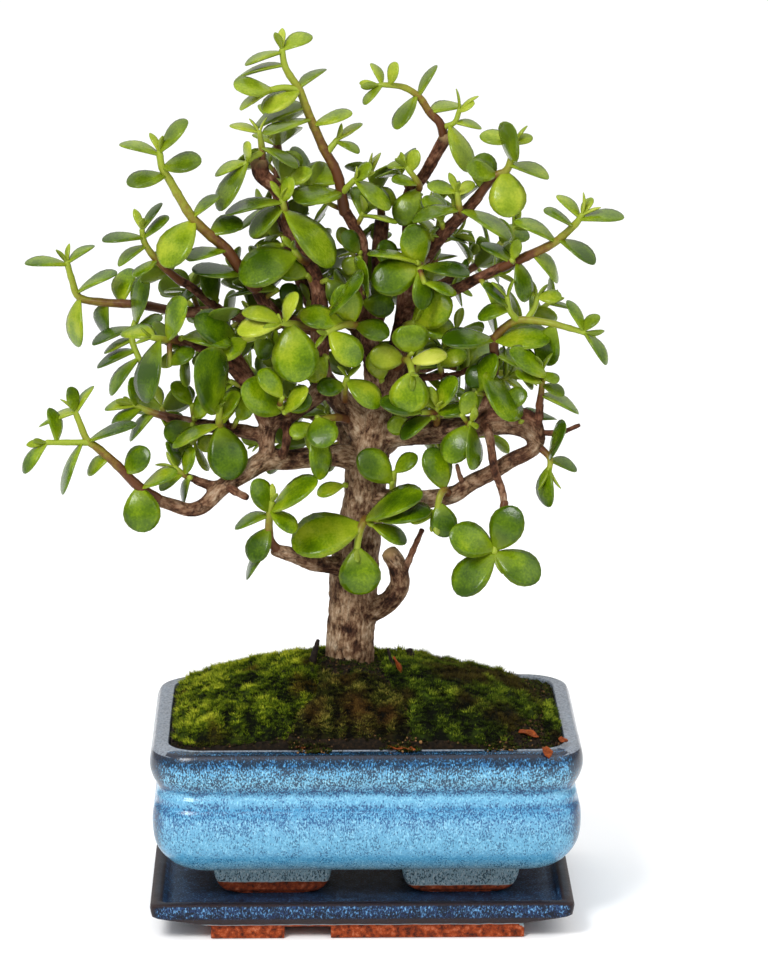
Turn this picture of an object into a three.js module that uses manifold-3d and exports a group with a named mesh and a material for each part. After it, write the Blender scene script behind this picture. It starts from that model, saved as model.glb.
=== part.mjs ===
// Dwarf jade bonsai in a blue glazed pot on its saucer.
// Millimetres, +Z up. The saucer's foot stands on z = 0, and the pot's middle is at x = y = 0.
import * as THREE from "three";
import { mergeVertices } from "three/addons/utils/BufferGeometryUtils.js";
import Module from "manifold-3d";

// Driving dimensions

const GAP = 0.3; // clearance between pieces that touch
const POT_HALF_LENGTH = 85;
const POT_HALF_DEPTH = 60.5;
const POT_CORNER = 17;
const POT_FLOOR_Z = 29; // top of the pot's floor
const POT_FOOT = { inner: 13.8, outer: 61.2, front: 40, thickness: 15, bottom: 11.8, top: 27 };
const DRAIN = { x: 36, hole: 7, mesh: 11, meshThickness: 1 };
const SAUCER_CENTRE = [-2, -4];
const SAUCER_HALF_LENGTH = 83.7;
const SAUCER_HALF_DEPTH = 60;
const SAUCER_TOP_Z = 15;
const SAUCER_EDGE_Z = 9.7; // lower edge of the saucer's upright rim
const SAUCER_WELL_Z = 11.5;
const SAUCER_FOOT = { height: 4.8, left: -61.8, right: 62, front: -60, back: 52, wall: 6.5 };
const SAUCER_NOTCH = [-32.8, -14.4]; // the gap in the saucer's foot, from and to along x
const SOIL_EDGE_Z = 72; // soil level beside the pot's wall
const MOUND_HEIGHT = 25; // how far the soil rises to the trunk
const MOUND_TOP = [-7, -10]; // where the mound is highest
const MOSS_THICKNESS = 2.6;
const LEAF_WIDTH = 0.74; // width of a leaf as a part of its length
const LEAF_THICKNESS = 2.1;
const LEAF_ARCH = 0.07; // how far a blade arches, as a part of its length
const LEAF_CLEARANCE = 3.3; // least distance between points of leaves on two shoots
const SEED = 1171;

// The front view that the plant's points are read in

// A point of the plant is [across, up, depth]: across and up as seen from the front in the plane
// of the trunk, and depth behind that plane (less than 0 is in front of it).
const VIEW = { yaw: -1, pitch: 13, distance: 1750, aim: [7.6, 0, 168], aimAcross: 6.8, aimUp: 180.4 };

const yaw = THREE.MathUtils.degToRad(VIEW.yaw);
const pitch = THREE.MathUtils.degToRad(VIEW.pitch);
const toEye = new THREE.Vector3(
  Math.sin(yaw) * Math.cos(pitch),
  -Math.cos(yaw) * Math.cos(pitch),
  Math.sin(pitch),
);
const eye = new THREE.Vector3(...VIEW.aim).addScaledVector(toEye, VIEW.distance);
const viewRight = new THREE.Vector3(0, 0, 1).cross(toEye).normalize();
const viewUp = new THREE.Vector3().crossVectors(toEye, viewRight);

function place([across, up, depth]) {
  const ray = toEye
    .clone()
    .multiplyScalar(-VIEW.distance)
    .addScaledVector(viewRight, across - VIEW.aimAcross)
    .addScaledVector(viewUp, up - VIEW.aimUp);
  return eye.clone().addScaledVector(ray, (depth - eye.y) / ray.y);
}

// Old wood: limbs as points along their middle with a radius at each

const LIMBS = [
  // trunk
  {
    sides: 9,
    points: [
      [-7, 82, 0], [-7, 98, 0], [-7, 112, 0], [-6, 130, 0], [-5, 150, 0],
      [-3, 165, 0], [-1, 178, 0], [0, 192, 0], [3, 203, 0], [4, 210, 1],
    ],
    radii: [11.5, 10.5, 9.6, 9.4, 9.5, 8.8, 8, 8.4, 8.2, 6],
  },
  // right limb and the thinner strand above it
  {
    sides: 7,
    points: [
      [2, 202, 0], [20, 203, -6], [35, 204, -11], [48, 206, -16], [58, 206, -19],
      [64, 204, -21], [69, 199, -22],
    ],
    radii: [5.4, 5, 4.7, 4.4, 4, 3.6, 3.2],
  },
  {
    sides: 6,
    points: [[43, 207, -15], [49, 210, -19], [60, 211, -23], [67, 208, -23], [69, 201, -22]],
    radii: [2.4, 2.5, 2.5, 2.5, 2.6],
  },
  // lower right limb, which bends up to meet the right limb's end
  {
    sides: 7,
    points: [
      [0, 176, -2], [20, 176, -10], [34, 178, -15], [42, 183, -17], [50, 187, -19],
      [58, 192, -21], [66, 196, -22], [69, 201, -22],
    ],
    radii: [4.6, 3.8, 3.5, 3.4, 3.2, 3, 3, 2.8],
  },
  { sides: 5, points: [[68, 204, -23], [69, 211, -25], [69, 215, -26]], radii: [1.9, 1.7, 1.5] },
  // grey twig that hangs in front of both right limbs
  {
    sides: 5,
    points: [[46, 207, -16], [49, 201, -25], [51, 188, -31], [54, 180, -32], [55, 174, -33]],
    radii: [2, 1.9, 1.8, 1.7, 1.6],
  },
  // dead twigs on the right
  { sides: 5, points: [[68, 203, -22], [77, 203, -24], [85, 206, -25]], radii: [1.4, 1.1, 0.8] },
  { sides: 5, points: [[39, 181, -16], [37, 186, -20], [36, 190, -22]], radii: [1.3, 1, 0.8] },
  // low stub on the right, cut off, with its twig
  {
    sides: 7,
    points: [[-2, 130, 0], [8, 135, -7], [13, 142, -11], [12, 150, -13], [9, 155, -14]],
    radii: [4.8, 4.3, 4, 3.8, 3.6],
  },
  {
    sides: 5,
    points: [[12, 145, -11], [15, 148, -14], [18, 155, -17], [22, 164, -19]],
    radii: [1.7, 1.5, 1.3, 1],
  },
  // left leader, cut off at its top
  {
    sides: 6,
    points: [
      [2, 199, 0], [-10, 215, -2], [-18, 226, -4], [-19, 240, -5], [-19, 257, -5], [-21, 265, -4],
      [-25, 273, -4], [-30, 282, -5], [-33, 290, -5], [-36, 300, -6], [-42, 306, -6], [-43, 311, -6],
    ],
    radii: [6.2, 5, 4.2, 3.6, 3.3, 3.2, 3, 2.9, 2.7, 2.8, 3.4, 3.7],
  },
  // top leader
  {
    sides: 6,
    points: [
      [3, 204, 2], [3, 225, 3], [0, 245, 4], [-3, 262, 3], [-2, 272, 2], [-2, 279, 1],
      [-5, 285, 0], [-9, 292, 0],
    ],
    radii: [5.4, 4.2, 3.2, 2.7, 2.5, 2.4, 2.3, 2.3],
  },
  // dark stub behind the top leader
  {
    sides: 5,
    points: [[1, 242, 5], [5, 255, 10], [5, 275, 12], [6, 289, 13]],
    radii: [3.6, 3.5, 3.3, 3],
  },
  // leader at the back on the left
  {
    sides: 5,
    points: [[-16, 238, -1], [-21, 252, 11], [-30, 274, 17], [-35, 295, 18], [-35, 314, 17]],
    radii: [3.4, 3.2, 2.8, 2.4, 2],
  },
  // right leader, cut off at its top
  {
    sides: 6,
    points: [
      [3, 206, 3], [10, 225, 7], [14, 245, 10], [16, 262, 11], [17, 285, 11], [17, 298, 10],
      [23, 306, 10], [28, 315, 9], [32, 322, 8],
    ],
    radii: [5.2, 4.4, 3.8, 3.4, 3, 2.7, 2.5, 2.5, 2.9],
  },
  // upper right branches
  {
    sides: 6,
    points: [[16, 258, 11], [24, 274, 2], [31, 283, -5], [38, 290, -9], [45, 298, -12]],
    radii: [3.2, 3, 2.7, 2.5, 2.2],
  },
  {
    sides: 5,
    points: [[15, 252, 10], [24, 256, 2], [35, 260, -6], [45, 265, -13], [55, 270, -18]],
    radii: [2.8, 2.6, 2.4, 2.2, 2],
  },
  { sides: 5, points: [[44, 205, -14], [48, 214, -13], [50, 222, -12]], radii: [3, 2.6, 2.3] },
  {
    sides: 5,
    points: [[11, 224, 7], [22, 225, 3], [35, 226, 0], [42, 229, -1]],
    radii: [1.8, 1.6, 1.3, 1],
  },
  // middle left limb with its knob, side twig and stub
  {
    sides: 7,
    points: [
      [0, 192, 0], [-15, 194, -6], [-30, 192, -11], [-40, 192, -15], [-50, 186, -19],
      [-58, 181, -22], [-65, 174, -25], [-71, 172, -27], [-78, 174, -28], [-84, 176, -29],
    ],
    radii: [5.2, 4.4, 4, 4.4, 3.6, 3.3, 3, 2.8, 2.6, 2.3],
  },
  { sides: 5, points: [[-57, 182, -22], [-52, 179, -27], [-48, 177, -30]], radii: [1.9, 1.6, 1.3] },
  { sides: 5, points: [[-58, 181, -22], [-63, 182, -21], [-69, 184, -19]], radii: [2.3, 2, 1.7] },
  // limb that comes down from the left leader and joins the middle left limb
  {
    sides: 6,
    points: [
      [-16, 223, -4], [-24, 215, -8], [-31, 210, -11], [-38, 207, -13], [-40, 200, -15],
      [-40, 192, -15],
    ],
    radii: [4.2, 3.7, 3.4, 3.4, 3.2, 3],
  },
  {
    sides: 5,
    points: [[-33, 209, -11], [-32, 203, -16], [-33, 196, -17], [-36, 192, -14]],
    radii: [2, 1.8, 1.8, 2],
  },
  {
    sides: 6,
    points: [[-39, 204, -14], [-43, 213, -14], [-46, 222, -13], [-53, 235, -12]],
    radii: [3.2, 3, 2.8, 2.3],
  },
  {
    sides: 6,
    points: [[-39, 201, -14], [-52, 204, -11], [-66, 206, -8], [-80, 209, -5]],
    radii: [3, 2.7, 2.5, 2.1],
  },
  // low left branch
  {
    sides: 6,
    points: [[-5, 148, 0], [-14, 150, -8], [-22, 151, -14], [-30, 154, -19], [-37, 156, -23]],
    radii: [4.2, 3.6, 3.3, 3, 2.7],
  },
  // upper left branches
  {
    sides: 6,
    points: [[-17, 243, -4], [-28, 247, 4], [-40, 248, 9], [-60, 251, 13], [-76, 251, 15]],
    radii: [3.4, 3, 2.8, 2.5, 2.2],
  },
  {
    sides: 5,
    points: [[-45, 219, -13], [-54, 229, -15], [-64, 236, -17], [-76, 240, -18]],
    radii: [2.7, 2.5, 2.3, 2],
  },
  {
    sides: 5,
    points: [[-58, 251, 13], [-64, 256, 7], [-70, 261, 2], [-75, 264, -1]],
    radii: [2.2, 2, 1.9, 1.7],
  },
  { sides: 5, points: [[-35, 248, 7], [-41, 255, 1], [-46, 263, -5]], radii: [2.9, 2.7, 2.5] },
  // limbs towards the back
  { sides: 6, points: [[-1, 194, 3], [-11, 204, 24], [-24, 212, 44]], radii: [4.8, 3.8, 2.6] },
  { sides: 6, points: [[4, 196, 3], [16, 205, 24], [30, 212, 44]], radii: [4.8, 3.8, 2.6] },
  { sides: 6, points: [[2, 232, 4], [-5, 246, 22], [-14, 256, 38]], radii: [3.8, 3, 2.2] },
  { sides: 5, points: [[15, 254, 11], [26, 261, 26], [37, 266, 40]], radii: [3.2, 2.6, 2] },
  { sides: 5, points: [[-18, 232, -4], [-33, 236, 18], [-48, 240, 34]], radii: [3.4, 2.8, 2.1] },
  { sides: 5, points: [[9, 226, 7], [27, 231, 26], [44, 238, 40]], radii: [3.4, 2.8, 2.1] },
];

// Leafy shoots

// stem and twigs: points along a shoot's green stem and its side twigs, the stem's radius going
// from the first to the second of radii. leaves: blades seen from the front, each as
// [base across, base up, tip across, tip up, width seen, depth of tip behind its base].
// pairs: how many more opposite pairs of blades follow the rule of the species along the stem,
// their length going from the first to the second of sizes.
const SHOOTS = [
  {
    name: "shoot_crown_left",
    stem: [
      [-9, 291, 0], [-11, 303, -1], [-13, 309, -1], [-17, 316, -2], [-21, 325, -3],
      [-24, 332, -3], [-27, 340, -3], [-31, 346, -4], [-33, 350, -4], [-34, 356, -4],
    ],
    radii: [2.2, 1.2],
    twigs: [
      [[-27, 340, -3], [-33, 341, -5], [-39, 340, -7]],
      [[-10, 299, -1], [-5, 304, -5]],
      [[-16, 315, -2], [-12, 320, -1]],
    ],
    leaves: [
      [-34, 356, -22, 362, 7, 4], [-35, 355, -49, 350, 4, -2], [-33, 350, -52, 345, 4, 6],
      [-27, 341, -17, 349, 5, 8], [-27, 340, -41, 331, 9, -10], [-38, 340, -53, 341, 9, -4],
      [-38, 339, -51, 332, 4, -6], [-21, 326, -6, 331, 6, -4], [-23, 328, -41, 322, 6, -8],
      [-25, 333, -46, 326, 9, 14], [-12, 320, -2, 327, 4, 3], [-12, 319, -3, 315, 4, -4],
      [-6, 304, 2, 310, 6, -4], [-5, 304, 9, 292, 8, -6], [-11, 303, -28, 307, 12, 10],
      [-11, 299, -28, 296, 10, -8],
    ],
  },
  {
    name: "shoot_left_cut_top",
    stem: [[-42, 309, -6], [-42, 316, -7], [-43, 323, -8]],
    radii: [1.6, 1.1],
    twigs: [[[-42, 315, -7], [-46, 313, -9], [-49, 310, -10]]],
    leaves: [
      [-43, 323, -55, 326, 4, 3], [-42, 321, -24, 329, 6, -6], [-42, 317, -28, 309, 5, -10],
      [-48, 311, -61, 306, 5, 2], [-48, 311, -47, 319, 4, -5], [-47, 311, -60, 292, 9, -6],
    ],
  },
  {
    name: "shoot_left_leader",
    stem: [[-33, 289, -6], [-33, 292, -12], [-34, 296, -14]],
    radii: [1.6, 1.2],
    twigs: [],
    leaves: [
      [-34, 295, -57, 290, 6, -4], [-33, 292, -14, 269, 13, -8], [-34, 296, -29, 304, 7, -4],
      [-33, 293, -47, 282, 9, 4],
    ],
  },
  {
    name: "shoot_left_leader_low",
    stem: [[-24, 271, -5], [-27, 273, -12], [-29, 276, -14]],
    radii: [1.7, 1.3],
    twigs: [],
    leaves: [[-28, 274, -51, 264, 16, -6], [-28, 275, -14, 284, 9, 2]],
  },
  {
    name: "shoot_crown_right",
    stem: [
      [31, 321, 8], [29, 327, 6], [25, 331, 5], [21, 337, 5], [15, 341, 5], [8, 342, 4],
      [5, 342, 4],
    ],
    radii: [1.9, 1],
    twigs: [[[30, 325, 7], [35, 327, 5], [37, 332, 4]]],
    leaves: [
      [6, 342, 2, 351, 4, 4], [9, 342, 12, 351, 5, -3], [6, 342, -1, 334, 4, -5],
      [21, 338, 28, 350, 4, 4], [20, 338, 12, 324, 7, -8], [25, 331, 38, 334, 6, 9],
      [37, 331, 43, 335, 4, -3], [35, 327, 46, 325, 4, 2], [33, 326, 40, 307, 9, -9],
    ],
  },
  {
    name: "shoot_crown_inner",
    stem: [[18, 297, 9], [21, 301, 3], [19, 305, 1], [16, 309, 1]],
    radii: [1.6, 1.1],
    twigs: [],
    leaves: [
      [20, 302, 10, 304, 5, -5], [17, 307, 20, 316, 6, -2], [16, 309, 8, 310, 4, 3],
      [20, 301, 13, 286, 12, -5],
    ],
  },
  {
    name: "shoot_right_top",
    stem: [
      [44, 297, -12], [48, 302, -13], [52, 306, -13], [56, 308, -14], [58, 314, -15],
      [59, 319, -15],
    ],
    radii: [1.9, 1.2],
    twigs: [],
    leaves: [
      [58, 319, 45, 322, 7, 2], [46, 300, 47, 315, 11, 5], [59, 318, 66, 322, 5, 3],
      [57, 310, 73, 305, 6, -3], [55, 308, 57, 289, 15, -8], [57, 312, 58, 325, 8, -10],
      [52, 306, 40, 309, 9, -6],
    ],
  },
  {
    name: "shoot_right_top_twig",
    stem: [[38, 290, -10], [37, 293, -16], [36, 299, -18]],
    radii: [1.5, 1.1],
    twigs: [],
    leaves: [
      [37, 292, 58, 281, 7, -6], [37, 292, 18, 288, 6, -4], [36, 299, 24, 302, 6, 1],
      [36, 298, 43, 303, 5, -4],
    ],
  },
  {
    name: "shoot_centre_bright",
    stem: [[24, 273, 2], [22, 271, -6], [21, 268, -12]],
    radii: [1.8, 1.3],
    twigs: [],
    leaves: [
      [21, 270, 17, 286, 13, -6], [21, 269, 2, 262, 15, -5], [22, 269, 41, 266, 7, -5],
      [21, 268, 22, 252, 9, -4],
    ],
  },
  {
    name: "shoot_right_high",
    stem: [[54, 269, -18], [65, 274, -24], [75, 279, -28], [83, 286, -31], [86, 290, -32]],
    radii: [2, 1.2],
    twigs: [],
    leaves: [
      [85, 288, 103, 289, 6, -3], [85, 289, 76, 298, 5, 5], [86, 290, 90, 297, 4, 3],
      [82, 286, 71, 292, 4, -5], [75, 280, 59, 288, 6, 4], [77, 280, 91, 270, 7, -6],
      [58, 271, 46, 279, 6, 8], [60, 272, 63, 255, 8, -4], [66, 275, 77, 264, 7, 6],
    ],
  },
  {
    name: "shoot_left_far",
    stem: [
      [-75, 251, 15], [-90, 254, 17], [-105, 255, 18], [-115, 257, 19], [-118, 264, 19],
      [-120, 271, 19],
    ],
    radii: [2, 1.2],
    twigs: [[[-90, 254, 17], [-93, 246, 12], [-94, 240, 9], [-91, 232, 6]]],
    leaves: [
      [-115, 257, -116, 237, 8, -3], [-116, 259, -100, 267, 5, -4], [-120, 270, -137, 271, 5, -2],
      [-119, 271, -109, 278, 4, 4], [-94, 247, -87, 265, 9, -8], [-98, 254, -96, 269, 10, 10],
      [-93, 245, -110, 238, 5, -4], [-94, 240, -105, 235, 4, 5], [-92, 236, -108, 229, 5, -3],
      [-93, 243, -82, 249, 5, -5], [-91, 233, -103, 218, 6, -4], [-80, 252, -68, 259, 5, -9],
      [-104, 255, -106, 243, 8, 6],
    ],
  },
  {
    name: "shoot_left_cluster",
    stem: [[-74, 263, 0], [-80, 268, -4], [-85, 273, -7], [-89, 279, -9], [-90, 284, -10]],
    radii: [1.7, 1.1],
    twigs: [],
    leaves: [
      [-89, 281, -106, 280, 5, -5], [-90, 284, -82, 295, 4, 3], [-89, 281, -79, 289, 5, -3],
      [-88, 278, -100, 270, 5, -2], [-84, 272, -93, 265, 5, -8], [-81, 269, -70, 279, 5, -4],
    ],
  },
  {
    name: "shoot_left_hang",
    stem: [[-75, 240, -18], [-80, 240, -21], [-86, 241, -24]],
    radii: [1.8, 1.2],
    twigs: [],
    leaves: [[-83, 240, -89, 215, 11, -10], [-80, 240, -72, 256, 10, -9], [-85, 241, -97, 244, 8, 12]],
  },
  {
    name: "shoot_left_high",
    stem: [
      [-45, 261, -4], [-51, 269, -9], [-57, 277, -13], [-64, 283, -16], [-70, 289, -19],
      [-75, 297, -21], [-79, 304, -22], [-82, 309, -23], [-83, 315, -23],
    ],
    radii: [2.5, 1.3],
    twigs: [],
    leaves: [
      [-82, 309, -66, 311, 9, -5], [-80, 306, -96, 302, 8, -6], [-83, 315, -72, 328, 7, -3],
      [-83, 314, -99, 319, 5, 2], [-70, 289, -59, 298, 5, 4], [-69, 288, -81, 269, 14, -8],
      [-56, 276, -72, 272, 6, -4], [-49, 266, -70, 267, 7, -8], [-63, 282, -50, 288, 9, 6],
    ],
  },
  {
    name: "shoot_centre_left",
    stem: [[-19, 245, -5], [-27, 246, -17], [-34, 247, -27]],
    radii: [1.9, 1.3],
    twigs: [],
    leaves: [
      [-34, 246, -52, 243, 9, -3], [-34, 247, -50, 252, 7, 8], [-33, 247, -28, 259, 6, -2],
      [-31, 246, -27, 223, 19, -5],
    ],
  },
  {
    name: "shoot_centre_front",
    stem: [[0, 247, 3], [-4, 246, -9], [-9, 246, -18], [-16, 243, -24]],
    radii: [1.9, 1.2],
    twigs: [],
    leaves: [
      [-9, 246, -27, 250, 10, -2], [-6, 246, -10, 262, 13, -4], [-5, 246, 9, 242, 9, -3],
      [-15, 243, -3, 230, 12, -4],
    ],
  },
  {
    name: "shoot_centre_yellow",
    stem: [[11, 228, 7], [15, 232, -6], [17, 231, -15], [18, 227, -21]],
    radii: [1.8, 1.3],
    twigs: [],
    leaves: [[15, 232, 1, 234, 11, -2], [17, 231, 32, 234, 7, -4], [18, 227, 16, 211, 16, -4]],
  },
  {
    name: "shoot_left_inner",
    stem: [[-52, 234, -12], [-51, 239, -15], [-45, 241, -18]],
    radii: [1.8, 1.3],
    twigs: [],
    leaves: [[-48, 240, -63, 233, 11, -5], [-52, 238, -69, 248, 13, -2], [-45, 241, -38, 233, 9, 5]],
  },
  {
    name: "shoot_left_pair",
    stem: [[-57, 205, -10], [-59, 206, -18], [-59, 213, -24]],
    radii: [1.9, 1.3],
    twigs: [],
    leaves: [
      [-59, 206, -78, 197, 6, -3], [-59, 208, -51, 219, 7, -3], [-59, 206, -54, 184, 16, -5],
      [-59, 212, -68, 233, 16, -4],
    ],
  },
  {
    name: "shoot_centre_right",
    stem: [[14, 244, 10], [16, 246, 2], [19, 247, -2]],
    radii: [1.8, 1.3],
    twigs: [],
    leaves: [[18, 247, 34, 256, 15, -3], [19, 246, 35, 243, 10, -3]],
  },
  {
    name: "shoot_right_middle",
    stem: [
      [50, 221, -12], [51, 232, -15], [51, 240, -18], [55, 245, -20], [61, 248, -22], [72, 247, -25],
      [80, 245, -27], [87, 243, -28],
    ],
    radii: [2.1, 1.1],
    twigs: [
      [[60, 248, -22], [57, 252, -25], [56, 257, -27]],
      [[64, 248, -23], [67, 253, -20], [68, 257, -18]],
    ],
    leaves: [
      [51, 240, 73, 240, 11, -10], [51, 240, 30, 240, 9, -6], [51, 231, 40, 222, 10, -3],
      [51, 227, 55, 209, 14, -5], [87, 243, 80, 256, 5, 3], [87, 243, 96, 230, 5, -3],
      [75, 246, 71, 230, 11, -5], [51, 234, 68, 229, 8, 3], [68, 257, 78, 257, 6, -2],
      [68, 257, 62, 263, 5, 2], [57, 253, 46, 262, 5, -4], [57, 252, 44, 250, 7, 5],
      [86, 243, 93, 250, 5, 4],
    ],
  },
  {
    name: "shoot_right_fork",
    stem: [[28, 204, -9], [28, 209, -14], [28, 213, -17]],
    radii: [1.7, 1.2],
    twigs: [],
    leaves: [[28, 212, 36, 225, 8, -3], [28, 211, 39, 212, 6, -6], [28, 212, 21, 221, 8, 5]],
  },
  {
    name: "shoot_centre_low",
    stem: [[-9, 214, -2], [-9, 220, -13], [-8, 225, -18]],
    radii: [1.8, 1.2],
    twigs: [],
    leaves: [[-8, 224, 5, 213, 10, -4], [-9, 222, -20, 220, 8, -5]],
  },
  {
    name: "shoot_left_mid",
    stem: [[-31, 210, -11], [-33, 212, -19], [-35, 214, -23]],
    radii: [1.8, 1.3],
    twigs: [],
    leaves: [[-33, 212, -50, 221, 15, -4], [-34, 212, -22, 217, 9, -2]],
  },
  {
    name: "shoot_left_mid_low",
    stem: [[-6, 208, -2], [-12, 209, -12], [-18, 208, -18], [-22, 205, -21]],
    radii: [1.8, 1.2],
    twigs: [],
    leaves: [[-13, 209, -23, 196, 11, -6], [-21, 205, -18, 184, 9, 1], [-21, 206, -31, 202, 7, -3]],
  },
  {
    name: "shoot_left_low",
    stem: [[-36, 156, -23], [-39, 161, -26], [-39, 170, -28], [-38, 175, -29]],
    radii: [1.9, 1.3],
    twigs: [],
    leaves: [
      [-38, 171, -20, 184, 9, -4], [-39, 171, -45, 184, 9, -3], [-39, 170, -53, 165, 5, 4],
      [-39, 165, -46, 151, 10, -4], [-38, 159, -49, 145, 5, 4], [-38, 172, -29, 163, 7, -8],
    ],
  },
  {
    name: "shoot_right_tip",
    stem: [[69, 214, -26], [70, 222, -28], [70, 228, -29]],
    radii: [1.4, 1],
    twigs: [],
    leaves: [
      [70, 222, 79, 218, 5, -3], [70, 218, 85, 211, 5, 3], [70, 227, 76, 223, 5, -7],
      [70, 224, 60, 226, 6, -9],
    ],
  },
  {
    name: "shoot_right_tip_low",
    stem: [[68, 198, -22], [73, 193, -25], [73, 188, -27]],
    radii: [1.5, 1.1],
    twigs: [],
    leaves: [[73, 193, 80, 205, 5, -2], [73, 190, 72, 173, 7, -3], [73, 192, 84, 188, 5, 3]],
  },
  {
    name: "shoot_right_limb",
    stem: [[40, 205, -13], [41, 206, -21], [42, 207, -25]],
    radii: [1.7, 1.2],
    twigs: [],
    leaves: [[41, 206, 32, 191, 12, -4], [42, 206, 42, 188, 7, -9]],
  },
  {
    name: "shoot_right_lower",
    stem: [[33, 178, -15], [31, 180, -21], [29, 177, -24], [28, 170, -25]],
    radii: [1.7, 1.2],
    twigs: [],
    leaves: [[31, 180, 25, 197, 12, -4], [29, 175, 32, 161, 11, -4], [28, 171, 17, 168, 6, 2]],
  },
  {
    name: "shoot_rosette",
    stem: [[55, 175, -33], [54, 168, -35], [52, 160, -37], [51, 155, -39]],
    radii: [1.6, 1.4],
    twigs: [],
    leaves: [
      [51, 156, 33, 163, 13, -3], [51, 156, 60, 173, 12, -3], [51, 155, 36, 138, 13, -5],
      [51, 155, 69, 144, 13, -5],
    ],
  },
  {
    name: "shoot_lower_left",
    stem: [
      [-83, 176, -29], [-92, 182, -31], [-100, 190, -33], [-108, 197, -34], [-112, 200, -34],
      [-115, 207, -34], [-117, 212, -34],
    ],
    radii: [2.1, 1.1],
    twigs: [[[-111, 199, -34], [-120, 199, -37], [-128, 199, -39]]],
    leaves: [
      [-128, 199, -138, 187, 6, -2], [-124, 199, -127, 213, 5, 3], [-114, 199, -122, 178, 5, -5],
      [-111, 200, -92, 206, 5, -3], [-117, 211, -119, 221, 5, -3], [-117, 211, -130, 206, 4, 3],
      [-116, 211, -110, 222, 4, 4], [-97, 187, -87, 196, 10, -4], [-91, 182, -89, 163, 15, -5],
      [-90, 181, -76, 187, 6, -6], [-103, 193, -112, 187, 6, 5],
    ],
  },
  {
    name: "shoot_lower_left_twig",
    stem: [[-68, 184, -19], [-73, 186, -20], [-77, 189, -20]],
    radii: [1.5, 1.1],
    twigs: [],
    leaves: [[-77, 188, -79, 199, 5, 4], [-73, 186, -69, 197, 6, -3], [-74, 186, -83, 180, 5, -4]],
  },
  {
    name: "shoot_left_shelf",
    stem: [[-79, 209, -5], [-86, 211, -3], [-93, 214, -2]],
    radii: [1.8, 1.1],
    twigs: [],
    leaves: [
      [-92, 214, -105, 213, 5, 4], [-90, 213, -102, 205, 6, -4], [-85, 211, -95, 200, 5, 4],
      [-83, 210, -72, 201, 10, 8], [-92, 214, -94, 225, 6, -3],
    ],
  },
  {
    name: "shoot_trunk",
    stem: [[-1, 168, -4], [-1, 168, -13], [-3, 163, -17], [-4, 157, -19]],
    radii: [2, 1.4],
    twigs: [],
    leaves: [
      [-2, 166, -27, 158, 13, -4], [-1, 168, 22, 178, 10, -3], [-4, 157, -2, 138, 17, -4],
      [-2, 165, 21, 166, 9, 3],
    ],
  },
  // shoots at the back, by the rule alone
  { name: "shoot_back_left_low", stem: [[-23, 211, 43], [-36, 219, 56], [-47, 229, 66]], pairs: 4 },
  { name: "shoot_back_left_shelf", stem: [[-12, 204, 25], [-27, 200, 37], [-42, 200, 46]], pairs: 3 },
  { name: "shoot_back_right_low", stem: [[29, 211, 43], [42, 217, 56], [53, 227, 64]], pairs: 4 },
  { name: "shoot_back_right_shelf", stem: [[16, 205, 25], [33, 202, 34], [50, 202, 42]], pairs: 3 },
  { name: "shoot_back_crown_left", stem: [[-13, 255, 37], [-20, 268, 48], [-23, 283, 54]], pairs: 4 },
  { name: "shoot_back_crown", stem: [[-4, 245, 22], [1, 262, 34], [4, 279, 41]], pairs: 4 },
  { name: "shoot_back_right_high", stem: [[36, 265, 39], [48, 273, 46], [59, 285, 48]], pairs: 4 },
  { name: "shoot_back_right_crown", stem: [[25, 261, 25], [28, 279, 31], [30, 297, 33]], pairs: 4 },
  { name: "shoot_back_left_high", stem: [[-47, 240, 33], [-62, 247, 42], [-75, 258, 46]], pairs: 4 },
  { name: "shoot_back_left_crown", stem: [[-32, 236, 17], [-44, 251, 25], [-53, 268, 30]], pairs: 4 },
  { name: "shoot_back_right", stem: [[43, 238, 39], [58, 244, 46], [73, 255, 48]], pairs: 4 },
  { name: "shoot_back_right_mid", stem: [[27, 231, 25], [43, 228, 18], [62, 226, 14]], pairs: 3 },
  { name: "shoot_back_top", stem: [[-35, 312, 17], [-36, 322, 20], [-34, 334, 22]], pairs: 3 },
  { name: "shoot_back_stub", stem: [[6, 286, 13], [5, 296, 17], [1, 306, 20]], pairs: 3 },
];
const BACK_RADII = [1.8, 1.1];
const BACK_SIZES = [19, 11];

// Solids

const wasm = await Module();
wasm.setup();

function solidOf(geometry) {
  const bare = geometry.clone();
  bare.deleteAttribute("normal");
  bare.deleteAttribute("uv");
  const merged = mergeVertices(bare, 1e-4);
  return new wasm.Manifold(
    new wasm.Mesh({
      numProp: 3,
      vertProperties: new Float32Array(merged.attributes.position.array),
      triVerts: new Uint32Array(merged.index.array),
    }),
  );
}

function geometryOf(solid) {
  const mesh = solid.getMesh();
  const geometry = new THREE.BufferGeometry();
  geometry.setAttribute("position", new THREE.BufferAttribute(mesh.vertProperties, 3));
  geometry.setIndex(new THREE.BufferAttribute(mesh.triVerts, 1));
  const flat = geometry.toNonIndexed();
  flat.computeVertexNormals();
  return flat;
}

// The largest body of a solid, without the scraps that a cut leaves.
function largestOf(solid) {
  const bodies = solid.decompose();
  bodies.sort((a, b) => b.volume() - a.volume());
  return bodies[0];
}

// The same body without the slivers that joining leaves, its corners on a fine grid.
function tidied(solid, tolerance) {
  const plain = solid.asOriginal().simplify(tolerance);
  const snapped = plain.warp((point) => {
    for (let i = 0; i < 3; i++) point[i] = Math.round(point[i] * 200) / 200;
  });
  return largestOf(snapped.simplify(0.006));
}

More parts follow.
